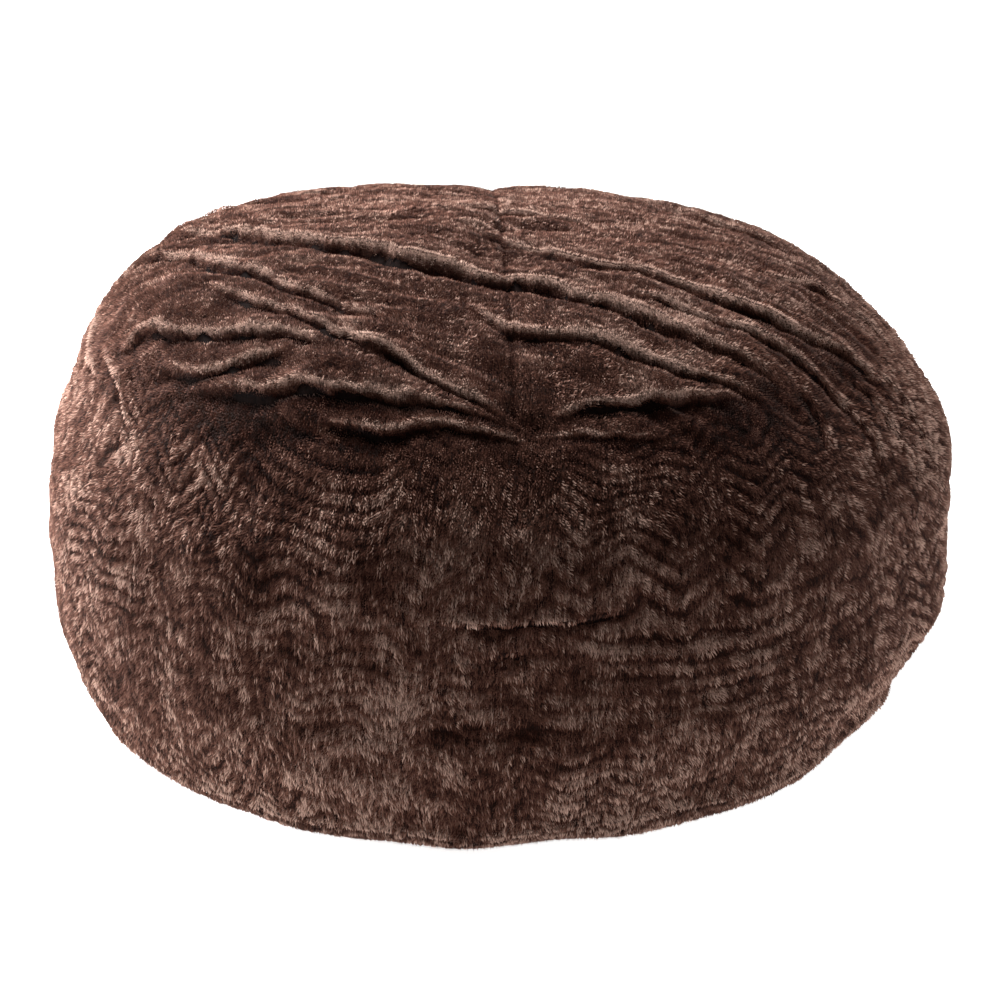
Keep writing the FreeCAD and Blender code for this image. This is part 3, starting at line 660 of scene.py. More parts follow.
class Nodes:
    """Adds nodes to one tree. Inputs are given by name or by number, each as a value or as the socket that
    feeds it."""

    def __init__(self, tree):
        self.tree = tree

    def add(self, kind, inputs=None, **settings):
        node = self.tree.nodes.new(kind)
        for name, value in settings.items():
            setattr(node, name, value)
        self.feed(node, inputs or {})
        return node

    def feed(self, node, inputs):
        for name, value in inputs.items():
            if isinstance(value, bpy.types.NodeSocket):
                self.tree.links.new(value, node.inputs[name])
            else:
                node.inputs[name].default_value = value

    def maths(self, operation, *values):
        return self.add("ShaderNodeMath", dict(enumerate(values)), operation=operation).outputs[0]

    def vectors(self, operation, *values):
        return self.add("ShaderNodeVectorMath", dict(enumerate(values)), operation=operation).outputs[0]

    def scaled(self, vector, scale):
        return self.add("ShaderNodeVectorMath", {0: vector, "Scale": scale}, operation="SCALE").outputs[0]

    def noise(self, vector, scale, detail=1.0, **settings):
        inputs = {"Vector": vector, "Scale": scale, "Detail": detail}
        return self.add("ShaderNodeTexNoise", inputs, **settings)

    def apart(self, vector):
        return self.add("ShaderNodeSeparateXYZ", {0: vector}).outputs

    def together(self, **axes):
        return self.add("ShaderNodeCombineXYZ", axes).outputs[0]

    def object_place(self):
        return self.add("ShaderNodeTexCoord").outputs["Object"]

    def ramp(self, value, *stops):
        """A colour ramp over value. Each stop is its place and its colour, or its place and one grey."""
        node = self.add("ShaderNodeValToRGB", {"Fac": value})
        elements = node.color_ramp.elements
        for index, (place, shade) in enumerate(stops):
            last = index == len(stops) - 1
            element = elements[-1 if last else 0] if last or index == 0 else elements.new(place)
            element.position = place
            element.color = (*shade, 1) if isinstance(shade, tuple) else (shade, shade, shade, 1)
        return node.outputs["Color"]

    def multiplied(self, colour, other):
        return self.add("ShaderNodeMix", {"Factor": 1.0, 6: colour, 7: other}, data_type="RGBA",
                        blend_type="MULTIPLY").outputs[2]


def new_group(name, kind, socket_type, inputs, outputs):
    """A node group with these sockets: its tree, its nodes, what comes in and the node that puts out."""
    tree = bpy.data.node_groups.new(name, kind)
    for direction, names in (("INPUT", inputs), ("OUTPUT", outputs)):
        for socket in names:
            tree.interface.new_socket(socket, in_out=direction, socket_type=socket_type)
    nodes = Nodes(tree)
    return tree, nodes, nodes.add("NodeGroupInput").outputs, nodes.add("NodeGroupOutput")


def tuft_mesh(material):
    """One tuft of pile: a closed three-sided spike of unit length and width, with its shares from root to
    tip and from side to side held on its points."""
    bm = bmesh.new()
    bmesh.ops.create_cone(bm, cap_ends=True, cap_tris=False, segments=3, radius1=0.5, radius2=0, depth=1)
    bmesh.ops.remove_doubles(bm, verts=bm.verts, dist=1e-4)
    bmesh.ops.translate(bm, verts=bm.verts, vec=(0, 0, 0.5))
    tip, side = bm.verts.layers.float.new("tip"), bm.verts.layers.float.new("side")
    for vert in bm.verts:
        vert[tip] = vert.co.z
        vert[side] = vert.co.x * (1 - vert.co.z)
    tuft = new_piece("tuft", bm, material)
    tuft.hide_render = tuft.hide_viewport = False
    return tuft


def pile_scatter(tuft):
    """Geometry nodes that set tufts over a sheet. Each leans the way the sheet's nap runs there, and those
    that are neighbours lean together, as plush pile does."""
    tree, nodes, into, out = new_group("pile scatter", "GeometryNodeTree", "NodeSocketGeometry", ["Sheet"],
                                       ["Pile"])
    add, maths, vectors, scaled = nodes.add, nodes.maths, nodes.vectors, nodes.scaled
    finish = bpy.context.scene.bean_bag_pile

    def held(name, kind="FLOAT"):
        return add("GeometryNodeInputNamedAttribute", {"Name": name}, data_type=kind).outputs["Attribute"]

    def stored(geometry, name, value, kind, domain):
        inputs = {"Geometry": geometry, "Name": name, "Value": value}
        return add("GeometryNodeStoreNamedAttribute", inputs, data_type=kind, domain=domain).outputs[0]

    def random_between(low, high, seed, kind="FLOAT"):
        node = add("FunctionNodeRandomValue", {"Seed": seed}, data_type=kind)
        least, most = [socket for socket in node.inputs if socket.enabled][:2]
        least.default_value, most.default_value = low, high
        return next(socket for socket in node.outputs if socket.enabled)

    points = add("GeometryNodeDistributePointsOnFaces", {
        "Mesh": into["Sheet"], "Distance Min": finish.spacing, "Density Max": CROWDING / finish.spacing**2,
        "Seed": finish.seed, "Density Factor": held("cover"),
    }, distribute_method="POISSON").outputs
    outward = points["Normal"]

    # Locks: long streaks down the wall, rounder clumps on the top.
    where = add("GeometryNodeInputPosition").outputs["Position"]
    clumps = nodes.noise(where, CLUMP_SCALE, 2.0).outputs["Color"]
    streaks = nodes.noise(held("streak", "FLOAT_VECTOR"), 1.0, 2.0).outputs["Color"]
    mixed = {"Factor": held("wall"), 4: clumps, 5: streaks}
    lock = add("ShaderNodeMix", mixed, data_type="VECTOR").outputs[1]
    lock_tone, _, lock_height = nodes.apart(lock)

    # Each tuft leans with its lock, and a little on its own.
    shared = scaled(vectors("SUBTRACT", lock, (0.5, 0.5, 0.5)), maths("ADD", held("wall"), LOCK_LEAN))
    own = scaled(random_between((-1, -1, -1), (1, 1, 1), finish.seed + 1, "FLOAT_VECTOR"), OWN_LEAN)
    lean = vectors("ADD", vectors("ADD", held("nap", "FLOAT_VECTOR"), shared), own)
    heading = vectors("NORMALIZE", vectors("ADD", lean, scaled(outward, held("stand"))))
    spin = random_between((0, 0, 0), (0, 0, math.tau), finish.seed + 2, "FLOAT_VECTOR")
    turned = add("FunctionNodeEulerToRotation", {0: spin}).outputs[0]
    aimed = add("FunctionNodeAlignRotationToVector", {"Rotation": turned, "Vector": heading}, axis="Z")

    # Light falls on the lean of the pile, not on each tuft's own sides.
    upright = add("ShaderNodeVectorMath", {0: heading, 1: outward}, operation="DOT_PRODUCT").outputs["Value"]
    soft = vectors("NORMALIZE", vectors("SUBTRACT", outward, scaled(scaled(heading, upright), SOFTNESS)))

    # The pile parts along the bands, and lies shorter there.
    broken = nodes.noise(where, BREAK_SCALE).outputs["Fac"]
    broken = maths("MULTIPLY", maths("SUBTRACT", broken, 0.5), BREAK_UP)
    band = maths("SINE", maths("MULTIPLY", maths("ADD", held("phase"), broken), math.tau))
    parted = maths("POWER", maths("ADD", maths("MULTIPLY", band, 0.5), 0.5), 3.0)
    patch = held("patch")
    cropped = maths("SUBTRACT", 1.0, maths("MULTIPLY", maths("MULTIPLY", parted, patch), BAND_CROP))
    reach = maths("MULTIPLY", random_between(0.75, 1.2, finish.seed + 3), held("reach"))
    lock_reach = maths("ADD", maths("MULTIPLY", lock_height, 0.9), 0.55)
    long = maths("MULTIPLY", maths("MULTIPLY", reach, cropped), lock_reach)
    wide = random_between(0.75 * finish.width, 1.25 * finish.width, finish.seed + 4)
    each = add("GeometryNodeObjectInfo", {"Object": tuft}).outputs["Geometry"]
    tufts = add("GeometryNodeInstanceOnPoints", {
        "Points": points["Points"], "Instance": each, "Rotation": aimed.outputs["Rotation"],
        "Scale": nodes.together(X=wide, Y=wide, Z=long),
    }).outputs[0]

    # Tone: the sheet's own pattern, which holds painted highlights and painted shade, then each lock's and
    # each tuft's share. The bands add painted sheen, with painted shade where the pile parts, and the gaps
    # between the locks get painted shade.
    tone = maths("ADD", held("tone"), maths("MULTIPLY", maths("SUBTRACT", lock_tone, 0.5), LOCK_TONE))
    tone = maths("ADD", tone, maths("MULTIPLY", maths("SUBTRACT", 0.25, parted), patch))
    gap = maths("MAXIMUM", maths("SUBTRACT", GAP_BELOW, lock_height), 0.0)
    tone = maths("SUBTRACT", tone, maths("MULTIPLY", gap, GAP_SHADE))
    tone = maths("ADD", tone, random_between(-0.08, 0.08, finish.seed + 5))
    kept = add("ShaderNodeClamp", {"Value": tone, "Min": 0.03, "Max": 0.97}).outputs[0]
    geometry = stored(tufts, "tone", kept, "FLOAT", "INSTANCE")
    geometry = stored(geometry, "soft", soft, "FLOAT_VECTOR", "INSTANCE")
    geometry = add("GeometryNodeRealizeInstances", {0: geometry}).outputs[0]

    own_normal = scaled(add("GeometryNodeInputNormal").outputs[0], finish.harshness)
    shared_normal = scaled(held("soft", "FLOAT_VECTOR"), 1 - finish.harshness)
    normal = vectors("NORMALIZE", vectors("ADD", own_normal, shared_normal))
    geometry = add("GeometryNodeSetMeshNormal", {"Mesh": geometry, "Custom Normal": normal}, mode="FREE",
                   domain="POINT").outputs[0]
    across = maths("ADD", held("tone"), maths("MULTIPLY", held("side"), 0.05))
    geometry = stored(geometry, UV_NAME, nodes.together(X=across, Y=held("tip")), "FLOAT2", "CORNER")
    for name in (*COMBED, "along", "side", "tip", "soft"):
        geometry = add("GeometryNodeRemoveAttribute", {"Name": name, 0: geometry}).outputs[0]
    nodes.feed(out, {"Pile": geometry})
    return tree


def hold(mesh, name, values):
    """Stores one number or one vector on each vertex."""
    kind = "FLOAT" if np.ndim(values) == 1 else "FLOAT_VECTOR"
    attribute = mesh.attributes.get(name) or mesh.attributes.new(name, kind, "POINT")
    attribute.data.foreach_set("value" if kind == "FLOAT" else "vector", np.ravel(values).astype(np.float32))


def toned(places, show):
    """How pale the pile is at each place, from 0 to 1, before its bands and locks: its own uneven tone in
    clouds, with the painted highlights and painted shade of the folds, the rim and the seams.
    """
    clouds = 0.13 * rumple(places, 0.05, 71.0) + 0.06 * rumple(places, 0.35, 81.0)
    return 0.605 + clouds + np.where(show > 0, 0.36, 0.42) * show


def comb(sheet, turn, along, show, outline, shape):
    """Stores on a sheet how its pile lies: which way the nap runs, how upright it stands, how long and how
    pale it is, and where there is none."""
    finish = bpy.context.scene.bean_bag_pile
    mesh = sheet.data
    places = np.array([v.co[:] for v in mesh.vertices])
    normals = np.array([v.normal[:] for v in mesh.vertices])
    facing = outline.facing(along)
    wall = 1 - smooth_step(facing, math.radians(30), math.radians(65))
    seam = outline.seam(shape.cover_seam)
    down = toward(turn, np.sin(facing), -np.cos(facing))
    sideways = np.stack([-np.sin(turn), np.cos(turn), np.zeros(len(turn))], 1)
    forward = np.array([0.25, -1.0, 0.0])

    wave, phase, patchy = brushed(turn, along, outline)
    bands = np.sin(2 * math.pi * phase) * patchy
    slant = np.sin(2 * math.pi * wave) * wall

    nap = wall[:, None] * (down + 0.30 * slant[:, None] * sideways)
    nap += (1 - wall)[:, None] * (0.6 * forward + 0.7 * rumple(places, 0.05, 61.0)[:, None] * sideways)
    nap -= (nap * normals).sum(1)[:, None] * normals
    nap /= np.maximum(np.linalg.norm(nap, axis=1), 1e-6)[:, None]
    stand = 0.95 + 0.55 * (1 - wall) - 0.30 * bands
    streak = np.stack([turn * BAG_RADIUS / 0.0060, along / 0.026, 4.4 * np.ones(len(turn))], 1)

    from_middle = np.abs(around(turn, math.pi / 2))
    zipped = 1 - smooth_step(from_middle, shape.zip_spread / 2 + 0.02, shape.zip_spread / 2 + 0.05)
    clear = zipped * (1 - smooth_step(np.abs(along - seam), shape.opening + 0.004, shape.opening + 0.014))
    under = smooth_step(along, outline.floor - 0.03, outline.floor + 0.02)
    crushed = 1 - 0.45 * np.clip(-show, 0, 1)
    reach = finish.tuft * (1 - 0.30 * (1 - wall)) * (1 - 0.5 * clear) * crushed
    # The tone holds painted highlights and painted shade over the pile's own uneven tone; the patch sets how
    # strongly the bands show, both in the tufts' length and in their painted sheen and painted shade.
    combed = (nap, streak, wall, stand, phase, finish.banding * patchy, toned(places, show), reach,
              (1 - clear) * (1 - under))
    for name, values in zip(COMBED, combed):
        hold(mesh, name, values)


def lay_pile(name, sheet, tree, keep, material):
    """Sets tufts over the part of a sheet that keep, a share for each vertex, picks out."""
    pile = sheet.copy()
    pile.data = sheet.data.copy()
    pile.name = pile.data.name = name
    bpy.context.scene.collection.objects.link(pile)
    cover = np.empty(len(pile.data.vertices), np.float32)
    pile.data.attributes["cover"].data.foreach_get("value", cover)
    hold(pile.data, "cover", cover * keep)
    scatter = pile.modifiers.new("pile", "NODES")
    scatter.node_group = tree
    applied(pile)
    pile.data.materials.clear()
    pile.data.materials.append(material)
    return attach(pile, "fur_cover")


# ---------------------------------------------------------------------------------------------------------
# Materials
# ---------------------------------------------------------------------------------------------------------

def new_material(name, **finish):
    """A material, its nodes and its shader, whose own sockets get the values in finish."""
    material = bpy.data.materials.new(name)
    material.use_nodes = True
    nodes, principled = Nodes(material.node_tree), material.node_tree.nodes["Principled BSDF"]
    nodes.feed(principled, {socket.replace("_", " "): value for socket, value in finish.items()})
    return material, nodes, principled


def mottle_group():
    """Uneven tone, as dye and handling leave it: broad clouds and a fine grain over them."""
    tree, nodes, into, out = new_group("mottle", "ShaderNodeTree", "NodeSocketFloat",
                                       ["Cloud Scale", "Grain Scale"], ["Tone"])
    where = nodes.object_place()
    clouds = nodes.noise(where, into["Cloud Scale"], 3.0).outputs["Fac"]
    grain = nodes.noise(where, into["Grain Scale"], 2.0).outputs["Fac"]
    both = nodes.add("ShaderNodeMix", {"Factor": GRAIN_SHARE, 2: clouds, 3: grain}, data_type="FLOAT")
    nodes.feed(out, {"Tone": both.outputs[0]})
    return tree


def weave_group():
    """Crossed threads: the height of a plain weave."""
    tree, nodes, into, out = new_group("weave", "ShaderNodeTree", "NodeSocketFloat", ["Threads"], ["Height"])
    waves = {"Vector": nodes.object_place(), "Scale": into["Threads"], "Distortion": 0.6}
    x, y, z = (
        nodes.add("ShaderNodeTexWave", waves, wave_type="BANDS", bands_direction=axis).outputs["Fac"]
        for axis in "XYZ"
    )
    nodes.feed(out, {"Height": nodes.maths("MAXIMUM", nodes.maths("MAXIMUM", x, y), z)})
    return tree


def mottled(nodes, tree, clouds, grain):
    inputs = {"Cloud Scale": clouds, "Grain Scale": grain}
    return nodes.add("ShaderNodeGroup", inputs, node_tree=tree).outputs["Tone"]


def woven(nodes, tree, threads):
    return nodes.add("ShaderNodeGroup", {"Threads": threads}, node_tree=tree).outputs["Height"]


def bumped(nodes, height, distance):
    inputs = {"Height": height, "Distance": distance, "Strength": 1.0}
    return nodes.add("ShaderNodeBump", inputs).outputs["Normal"]


def pile_tones(nodes, value):
    """The dye's range, from the crushed pile, whose colour also serves for painted shade, to the pale tips,
    whose colour also serves for painted highlights and painted sheen.
    """
    finish = bpy.context.scene.bean_bag_pile
    return nodes.ramp(value, (0.0, tuple(finish.root)), (0.30, tuple(finish.dark_tip)),
                      (0.62, tuple(finish.mid_tip)), (1.0, tuple(finish.pale_tip)))


def plush_pile():
    """The tufts: dark at the root, paler at the tip, and from dark to pale by each tuft's tone."""
    material, nodes, principled = new_material(
        "plush pile", Roughness=0.80, Specular_IOR_Level=0.04, Sheen_Weight=0.05, Sheen_Roughness=0.5,
        Sheen_Tint=(1.0, 0.70, 0.60, 1))
    # The tone in the UV map carries painted highlights, painted sheen and painted shade along with the
    # pile's own uneven tone.
    tone, height, _ = nodes.apart(nodes.add("ShaderNodeUVMap", uv_map=UV_NAME).outputs[0])
    strands = nodes.together(X=nodes.maths("MULTIPLY", tone, STRANDS), Y=height)
    strand = nodes.noise(strands, 1.0, noise_dimensions="2D").outputs["Fac"]
    even = nodes.maths("SUBTRACT", tone, STRAND_SHADE / 2)
    tone = pile_tones(nodes, nodes.maths("MULTIPLY_ADD", strand, STRAND_SHADE, even))
    depth = nodes.ramp(height, (0.0, 0.30), (0.45, 0.72), (1.0, 1.0))
    nodes.feed(principled, {"Base Color": nodes.multiplied(tone, depth)})
    return material


def knitted_backing(mottle):
    """The short under-pile and the cloth that it is knitted into, which show between the tufts."""
    material, nodes, principled = new_material("knitted backing", Roughness=0.95, Specular_IOR_Level=0.05)
    laid = nodes.add("ShaderNodeAttribute", attribute_name="laid").outputs["Vector"]
    hair_size = (1 / HAIR_WIDTH, 1 / HAIR_LENGTH, 1.0)
    hair_way = nodes.add("ShaderNodeMapping", {"Vector": laid, "Scale": hair_size})
    hair = nodes.noise(hair_way.outputs["Vector"], 1.0, 2.0, noise_dimensions="2D").outputs["Fac"]
    streaked = nodes.maths("MULTIPLY", hair, mottled(nodes, mottle, 60.0, 240.0))
    shade = nodes.ramp(streaked, (0.14, 0.08), (0.26, 0.55), (0.38, 1.0))
    # The tone carries painted highlights and painted shade along with the pile's own uneven tone.
    tone = pile_tones(nodes, nodes.add("ShaderNodeAttribute", attribute_name="tone").outputs["Fac"])
    nodes.feed(principled, {"Base Color": nodes.multiplied(tone, shade),
                            "Normal": bumped(nodes, streaked, 0.004)})
    return material


def lining_cloth(mottle, weave):
    """Plain woven polyester, undyed."""
    material, nodes, principled = new_material("lining cloth", Roughness=0.75)
    tone = nodes.ramp(mottled(nodes, mottle, 5.0, 220.0), (0.3, (0.48, 0.45, 0.40)),
                      (0.7, (0.60, 0.57, 0.52)))
    nodes.feed(principled, {"Base Color": tone, "Normal": bumped(nodes, woven(nodes, weave, 260.0), 0.0002)})
    return material


def shredded_foam():
    """Loose crumbs of cream foam, of three makes."""
    material, nodes, principled = new_material("shredded foam", Roughness=0.95)
    crumbs = nodes.add("ShaderNodeTexVoronoi", {"Vector": nodes.object_place(), "Scale": 45.0}).outputs
    tone = nodes.ramp(nodes.apart(crumbs["Color"])["X"], (0.0, (0.85, 0.78, 0.55)),
                      (0.5, (0.80, 0.76, 0.66)), (1.0, (0.72, 0.60, 0.36)))
    nodes.feed(principled, {"Base Color": tone, "Normal": bumped(nodes, crumbs["Distance"], 0.004)})
    return material


def zipper_tape(mottle, weave):
    """Dark twill tape."""
    material, nodes, principled = new_material("zipper tape", Roughness=0.9, Specular_IOR_Level=0.15)
    tone = nodes.ramp(mottled(nodes, mottle, 12.0, 400.0), (0.3, (0.014, 0.0085, 0.0065)),
                      (0.7, (0.030, 0.019, 0.015)))
    nodes.feed(principled, {"Base Color": tone, "Normal": bumped(nodes, woven(nodes, weave, 420.0), 0.0002)})
    return material


def zipper_coil(mottle):
    """Satin monofilament, rubbed paler by the slider."""
    material, nodes, principled = new_material("zipper coil", Roughness=0.5, Specular_IOR_Level=0.25)
    tone = nodes.ramp(mottled(nodes, mottle, 30.0, 600.0), (0.3, (0.013, 0.008, 0.006)),
                      (0.7, (0.032, 0.021, 0.017)))
    nodes.feed(principled, {"Base Color": tone})
    return material


def bronzed_zinc(mottle):
    """Cast zinc with a dark bronze finish, worn where it is handled."""
    material, nodes, principled = new_material("bronzed zinc", Metallic=1.0)
    wear = mottled(nodes, mottle, 160.0, 1400.0)
    tone = nodes.ramp(wear, (0.35, (0.085, 0.070, 0.060)), (0.62, (0.13, 0.105, 0.085)),
                      (0.75, (0.30, 0.24, 0.18)))
    rough = nodes.add("ShaderNodeMapRange", {"Value": wear, "To Min": 0.28, "To Max": 0.52}).outputs[0]
    nodes.feed(principled, {"Base Color": tone, "Roughness": rough})
    return material


def finishes():
    """The bag's materials by name, made the first time they are asked for."""
    if "plush pile" not in bpy.data.materials:
        mottle, weave = mottle_group(), weave_group()
        plush_pile(), knitted_backing(mottle), lining_cloth(mottle, weave), shredded_foam()
        zipper_tape(mottle, weave), zipper_coil(mottle), bronzed_zinc(mottle)
    return bpy.data.materials


# ---------------------------------------------------------------------------------------------------------
# Operators
# ---------------------------------------------------------------------------------------------------------

def sheet_of(start, end, along_from, along_to, cell, inset, outline, shape, under=False):
    """A settled sheet of the bag's skin that far inside its outline, with its turns, its alongs and the
    painted highlights and painted shade of its pile."""
    count = max(2, round((along_to - along_from) / cell))
    columns = max(4, round((end - start) * BAG_RADIUS / (cell * shape.stretch)))
    bm = spun_sheet(start, end, np.linspace(along_from, along_to, count + 1), columns)
    turn, along = spread(bm)
    drawn = along if under else opened(turn, along, outline.seam(shape.cover_seam), shape)
    places, outward, show, _ = settled(turn, drawn, outline, shape, under)
    places = places + outline.puff.at(turn, drawn)
    place(bm, places - np.reshape(inset, (-1, 1)) * outward)
    return bm, turn, drawn, show


class BEANBAG_OT_cover(bpy.types.Operator):
    """Make the four quarter panels and the base panel of the plush cover, with their pile"""

    bl_idname = "beanbag.cover"
    bl_label = "Plush cover"

    ZONES = (("crown", 0.0, 0.62), ("shoulder", 0.62, 0.96), ("wall", 0.96, 9.0))

    def execute(self, context):
        shape = context.scene.bean_bag_shape
        outline = bag_outline(shape)
        seam = outline.seam(shape.cover_seam)
        tuft = tuft_mesh(finishes()["plush pile"])
        scatter = pile_scatter(tuft)
        for name, quarter in QUARTERS:
            start = quarter * math.pi / 2
            spans = (start, start + math.pi / 2, 0.0, seam)
            self.panel(context, name, spans, 1.0, self.ZONES, scatter, outline)
        base_zones = (("rim", 0.0, seam + 0.07), ("underside", seam + 0.07, 9.0))
        self.panel(context, "base", (0.0, 2 * math.pi, seam, outline.end), 2.0, base_zones, scatter, outline)
        bpy.data.objects.remove(tuft)
        return {"FINISHED"}

    def panel(self, context, name, spans, coarse, zones, scatter, outline):
        made = finishes()
        shape = context.scene.bean_bag_shape
        ground, turn, along, show = sheet_of(*spans, shape.cell * 0.7, shape.pile, outline, shape)
        source = new_piece("sheet", faced_out(ground), made["plush pile"])
        comb(source, turn, along, show, outline, shape)
        for zone, low, high in zones:
            keep = ((along >= low) & (along < high)).astype(float)
            lay_pile(f"{name}_{zone}_pile", source, scatter, keep, made["plush pile"])
        bpy.data.objects.remove(source)
        depth = shape.pile + shape.root
        outer, turn, along, show = sheet_of(*spans, coarse * shape.cell, depth, outline, shape)
        # The backing is toned as the pile over it: its own uneven tone with the painted highlights and
        # painted shade of the folds, rim and seams, and the bands' painted sheen with painted shade where
        # the pile parts.
        _, phase, patchy = brushed(turn, along, outline)
        parted = (0.5 + 0.5 * np.sin(2 * math.pi * phase)) ** 3
        tones = toned(np.array([v.co[:] for v in outer.verts]), show)
        tones += context.scene.bean_bag_pile.banding * patchy * (0.25 - parted)
        dyed, laid = outer.verts.layers.float.new("tone"), outer.verts.layers.float_vector.new("laid")
        for vert, tone, across, down in zip(outer.verts, tones, turn * BAG_RADIUS, along):
            vert[dyed], vert[laid] = tone, (across, down, 0)
        inner = sheet_of(*spans, 4 * shape.cell, shape.cover, outline, shape)[0]
        panel = shell(f"{name}_fabric", outer, inner, made["knitted backing"])
        attach(panel, "fur_cover", f"cover_{name}_panel")


class BEANBAG_OT_lining(bpy.types.Operator):
    """Make the lining bag's four panels and its base, and the foam inside it"""

    bl_idname = "beanbag.lining"
    bl_label = "Lining and foam"

    def execute(self, context):
        shape = context.scene.bean_bag_shape
        outline = bag_outline(shape)
        seam = outline.seam(shape.lining_seam)
        made = finishes()
        cell = 3 * shape.cell
        inset = shape.cover + shape.slack
        for name, quarter in QUARTERS:
            start = quarter * math.pi / 2
            self.sheet(name, (start, start + math.pi / 2, 0.0, seam), cell, inset, outline, shape)
        self.sheet("base", (0.0, 2 * math.pi, seam, outline.end), cell, inset, outline, shape)
        foam = sheet_of(0.0, 2 * math.pi, 0.0, outline.end, cell, inset + 2 * shape.lining, outline, shape,
                        True)[0]
        body = new_piece("foam_crumbs", faced_out(foam), made["shredded foam"])
        attach(body, "foam", "foam_fill")
        return {"FINISHED"}

    def sheet(self, name, args, cell, inset, outline, shape):
        outer = sheet_of(*args, cell, inset, outline, shape, True)[0]
        inner = sheet_of(*args, cell, inset + shape.lining, outline, shape, True)[0]
        piece = shell(f"{name}_lining", outer, inner, finishes()["lining cloth"])
        attach(piece, "lining_cloth", f"lining_{name}_panel")


class BEANBAG_OT_zippers(bpy.types.Operator):
    """Finish the zippers of the cover and of the lining"""

    bl_idname = "beanbag.zippers"
    bl_label = "Zippers"

    WEARS = (("tape", "zipper tape"), ("coil", "zipper coil"), ("stop", "bronzed zinc"),
             ("slider", "bronzed zinc"), ("pull", "bronzed zinc"))

    def execute(self, context):
        made = finishes()
        for name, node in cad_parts.items():
            if "_zip_" not in name:
                continue
            wears = next(material for word, material in self.WEARS if word in name.split("_zip_")[1])
            node.data.materials.clear()
            node.data.materials.append(made[wears])
        return {"FINISHED"}


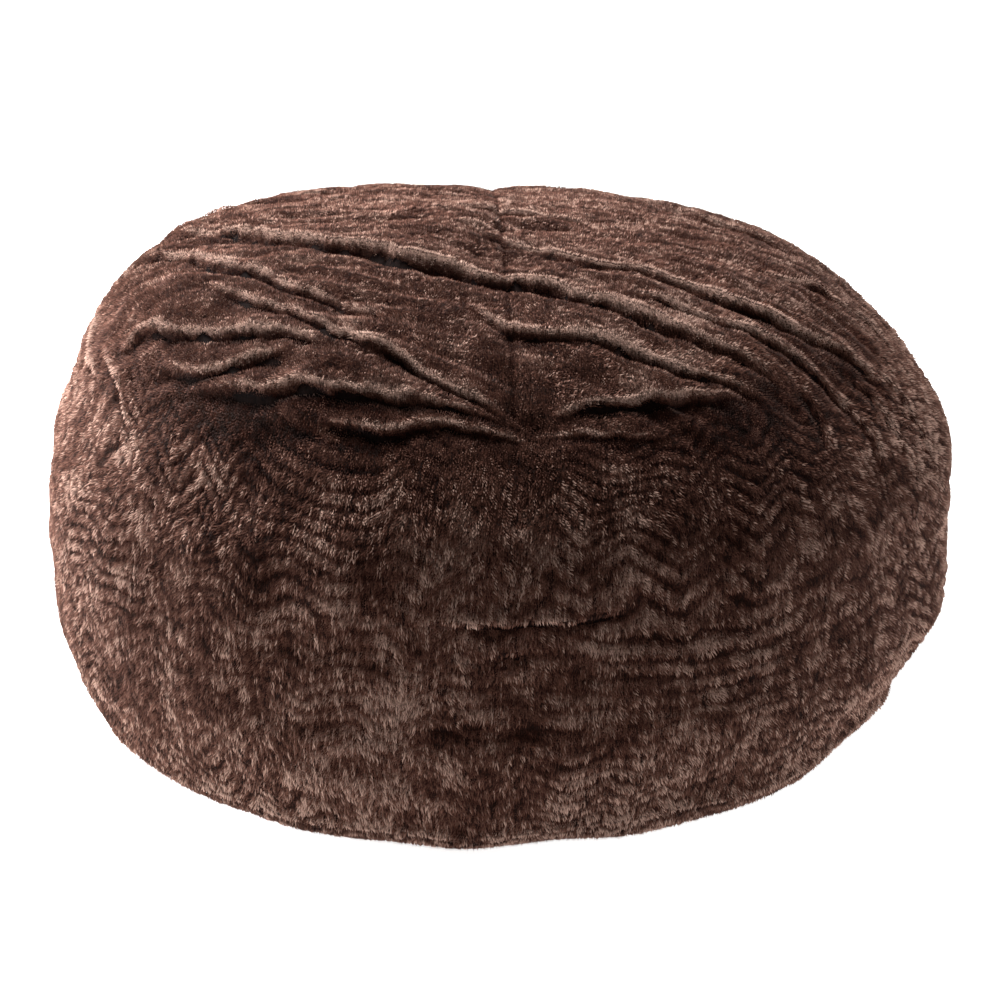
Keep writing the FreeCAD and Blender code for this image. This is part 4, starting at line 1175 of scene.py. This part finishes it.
class BEANBAG_OT_studio(bpy.types.Operator):
    """Set the floor, the light and the camera"""

    bl_idname = "beanbag.studio"
    bl_label = "Studio"

    FLOOR_SIZE = 60.0
    POOL = (0.9, 2.2)
    SKY = 0.07
    LAMPS = (
        ("key", (-2.8, 1.9, 2.9), 1.3), ("top", (-0.9, 0.3, 4.3), 1.6), ("left", (-4.2, 0.2, 1.0), 1.4),
        ("right", (4.2, -0.2, 0.5), 1.4), ("fill", (1.0, -4.6, 2.6), 3.0),
    )

    def execute(self, context):
        studio = context.scene.bean_bag_studio
        self.floor()
        self.world(context)
        aim = Vector((0, 0, studio.height))
        for name, location, size in self.LAMPS:
            self.lamp(f"{name} light", location, aim, size, getattr(studio, name))
        level = math.cos(studio.elevation)
        back = Vector((-math.sin(studio.azimuth) * level, -math.cos(studio.azimuth) * level,
                       math.sin(studio.elevation)))
        data = bpy.data.cameras.new("camera")
        data.lens = studio.lens
        camera = bpy.data.objects.new("camera", data)
        camera.location = aim + back * studio.distance
        camera.rotation_euler = (-back).to_track_quat("-Z", "Y").to_euler()
        context.scene.collection.objects.link(camera)
        context.scene.camera = camera
        context.scene.view_settings.view_transform = "Standard"
        return {"FINISHED"}

    def floor(self):
        bm = bmesh.new()
        bmesh.ops.create_grid(bm, x_segments=8, y_segments=8, size=self.FLOOR_SIZE / 2)
        material, nodes, principled = new_material(
            "studio floor", Base_Color=(0.93, 0.93, 0.93, 1), Roughness=0.9, Specular_IOR_Level=0.0,
            Emission_Color=(1, 1, 1, 1))
        far = nodes.add("ShaderNodeVectorMath", {0: nodes.object_place()}, operation="LENGTH")
        pool = nodes.add("ShaderNodeMapRange", {
            "Value": far.outputs["Value"], "From Min": self.POOL[0], "From Max": self.POOL[1],
            "To Min": 1.05, "To Max": 0.15,
        }, interpolation_type="SMOOTHSTEP").outputs[0]
        seen = {"Factor": nodes.add("ShaderNodeLightPath").outputs["Is Camera Ray"], 2: pool, 3: 0.93}
        glow = nodes.add("ShaderNodeMix", seen, data_type="FLOAT").outputs[0]
        nodes.feed(principled, {"Emission Strength": glow})
        floor = new_piece("floor", bm, material)
        floor.data.transform(Matrix.Translation((0, 0, -0.0005)))

    def world(self, context):
        world = bpy.data.worlds.new("studio")
        context.scene.world = world
        world.use_nodes = True
        nodes = Nodes(world.node_tree)
        light = world.node_tree.nodes["Background"]
        nodes.feed(light, {"Color": (1.0, 0.98, 0.96, 1), "Strength": self.SKY})
        seen = nodes.add("ShaderNodeBackground", {"Color": (1, 1, 1, 1)})
        camera_ray = nodes.add("ShaderNodeLightPath").outputs["Is Camera Ray"]
        mix = nodes.add("ShaderNodeMixShader", {0: camera_ray, 1: light.outputs[0], 2: seen.outputs[0]})
        nodes.feed(world.node_tree.nodes["World Output"], {"Surface": mix.outputs[0]})

    def lamp(self, name, location, aim, size, power):
        data = bpy.data.lights.new(name, "AREA")
        data.shape = "DISK"
        data.size = size
        data.energy = power
        lamp = bpy.data.objects.new(name, data)
        lamp.location = location
        lamp.rotation_euler = (aim - Vector(location)).to_track_quat("-Z", "Y").to_euler()
        bpy.context.scene.collection.objects.link(lamp)


class BEANBAG_PT_sidebar(bpy.types.Panel):
    """Lists what the bag is made of"""

    bl_idname = "BEANBAG_PT_sidebar"
    bl_label = "Plush Bean Bag"
    bl_space_type = "VIEW_3D"
    bl_region_type = "UI"
    bl_category = "Bean Bag"

    def draw(self, context):
        scene = context.scene
        for settings in (scene.bean_bag_shape, scene.bean_bag_pile, scene.bean_bag_studio):
            for name in settings.bl_rna.properties.keys():
                if name not in ("rna_type", "name"):
                    self.layout.prop(settings, name)
        for operator in OPERATORS:
            self.layout.operator(operator.bl_idname)


SETTINGS = (("bean_bag_shape", BagShape), ("bean_bag_pile", PileFinish), ("bean_bag_studio", StudioSettings))
OPERATORS = (BEANBAG_OT_studio, BEANBAG_OT_cover, BEANBAG_OT_lining, BEANBAG_OT_zippers)


def register():
    for name, group in SETTINGS:
        bpy.utils.register_class(group)
        setattr(bpy.types.Scene, name, PointerProperty(type=group))
    for cls in (*OPERATORS, BEANBAG_PT_sidebar):
        bpy.utils.register_class(cls)


def unregister():
    for cls in (BEANBAG_PT_sidebar, *reversed(OPERATORS)):
        bpy.utils.unregister_class(cls)
    for name, group in reversed(SETTINGS):
        delattr(bpy.types.Scene, name)
        bpy.utils.unregister_class(group)


def main():
    register()
    for operator in OPERATORS:
        group, name = operator.bl_idname.split(".")
        getattr(getattr(bpy.ops, group), name)()


if __name__ == "__main__":
    main()
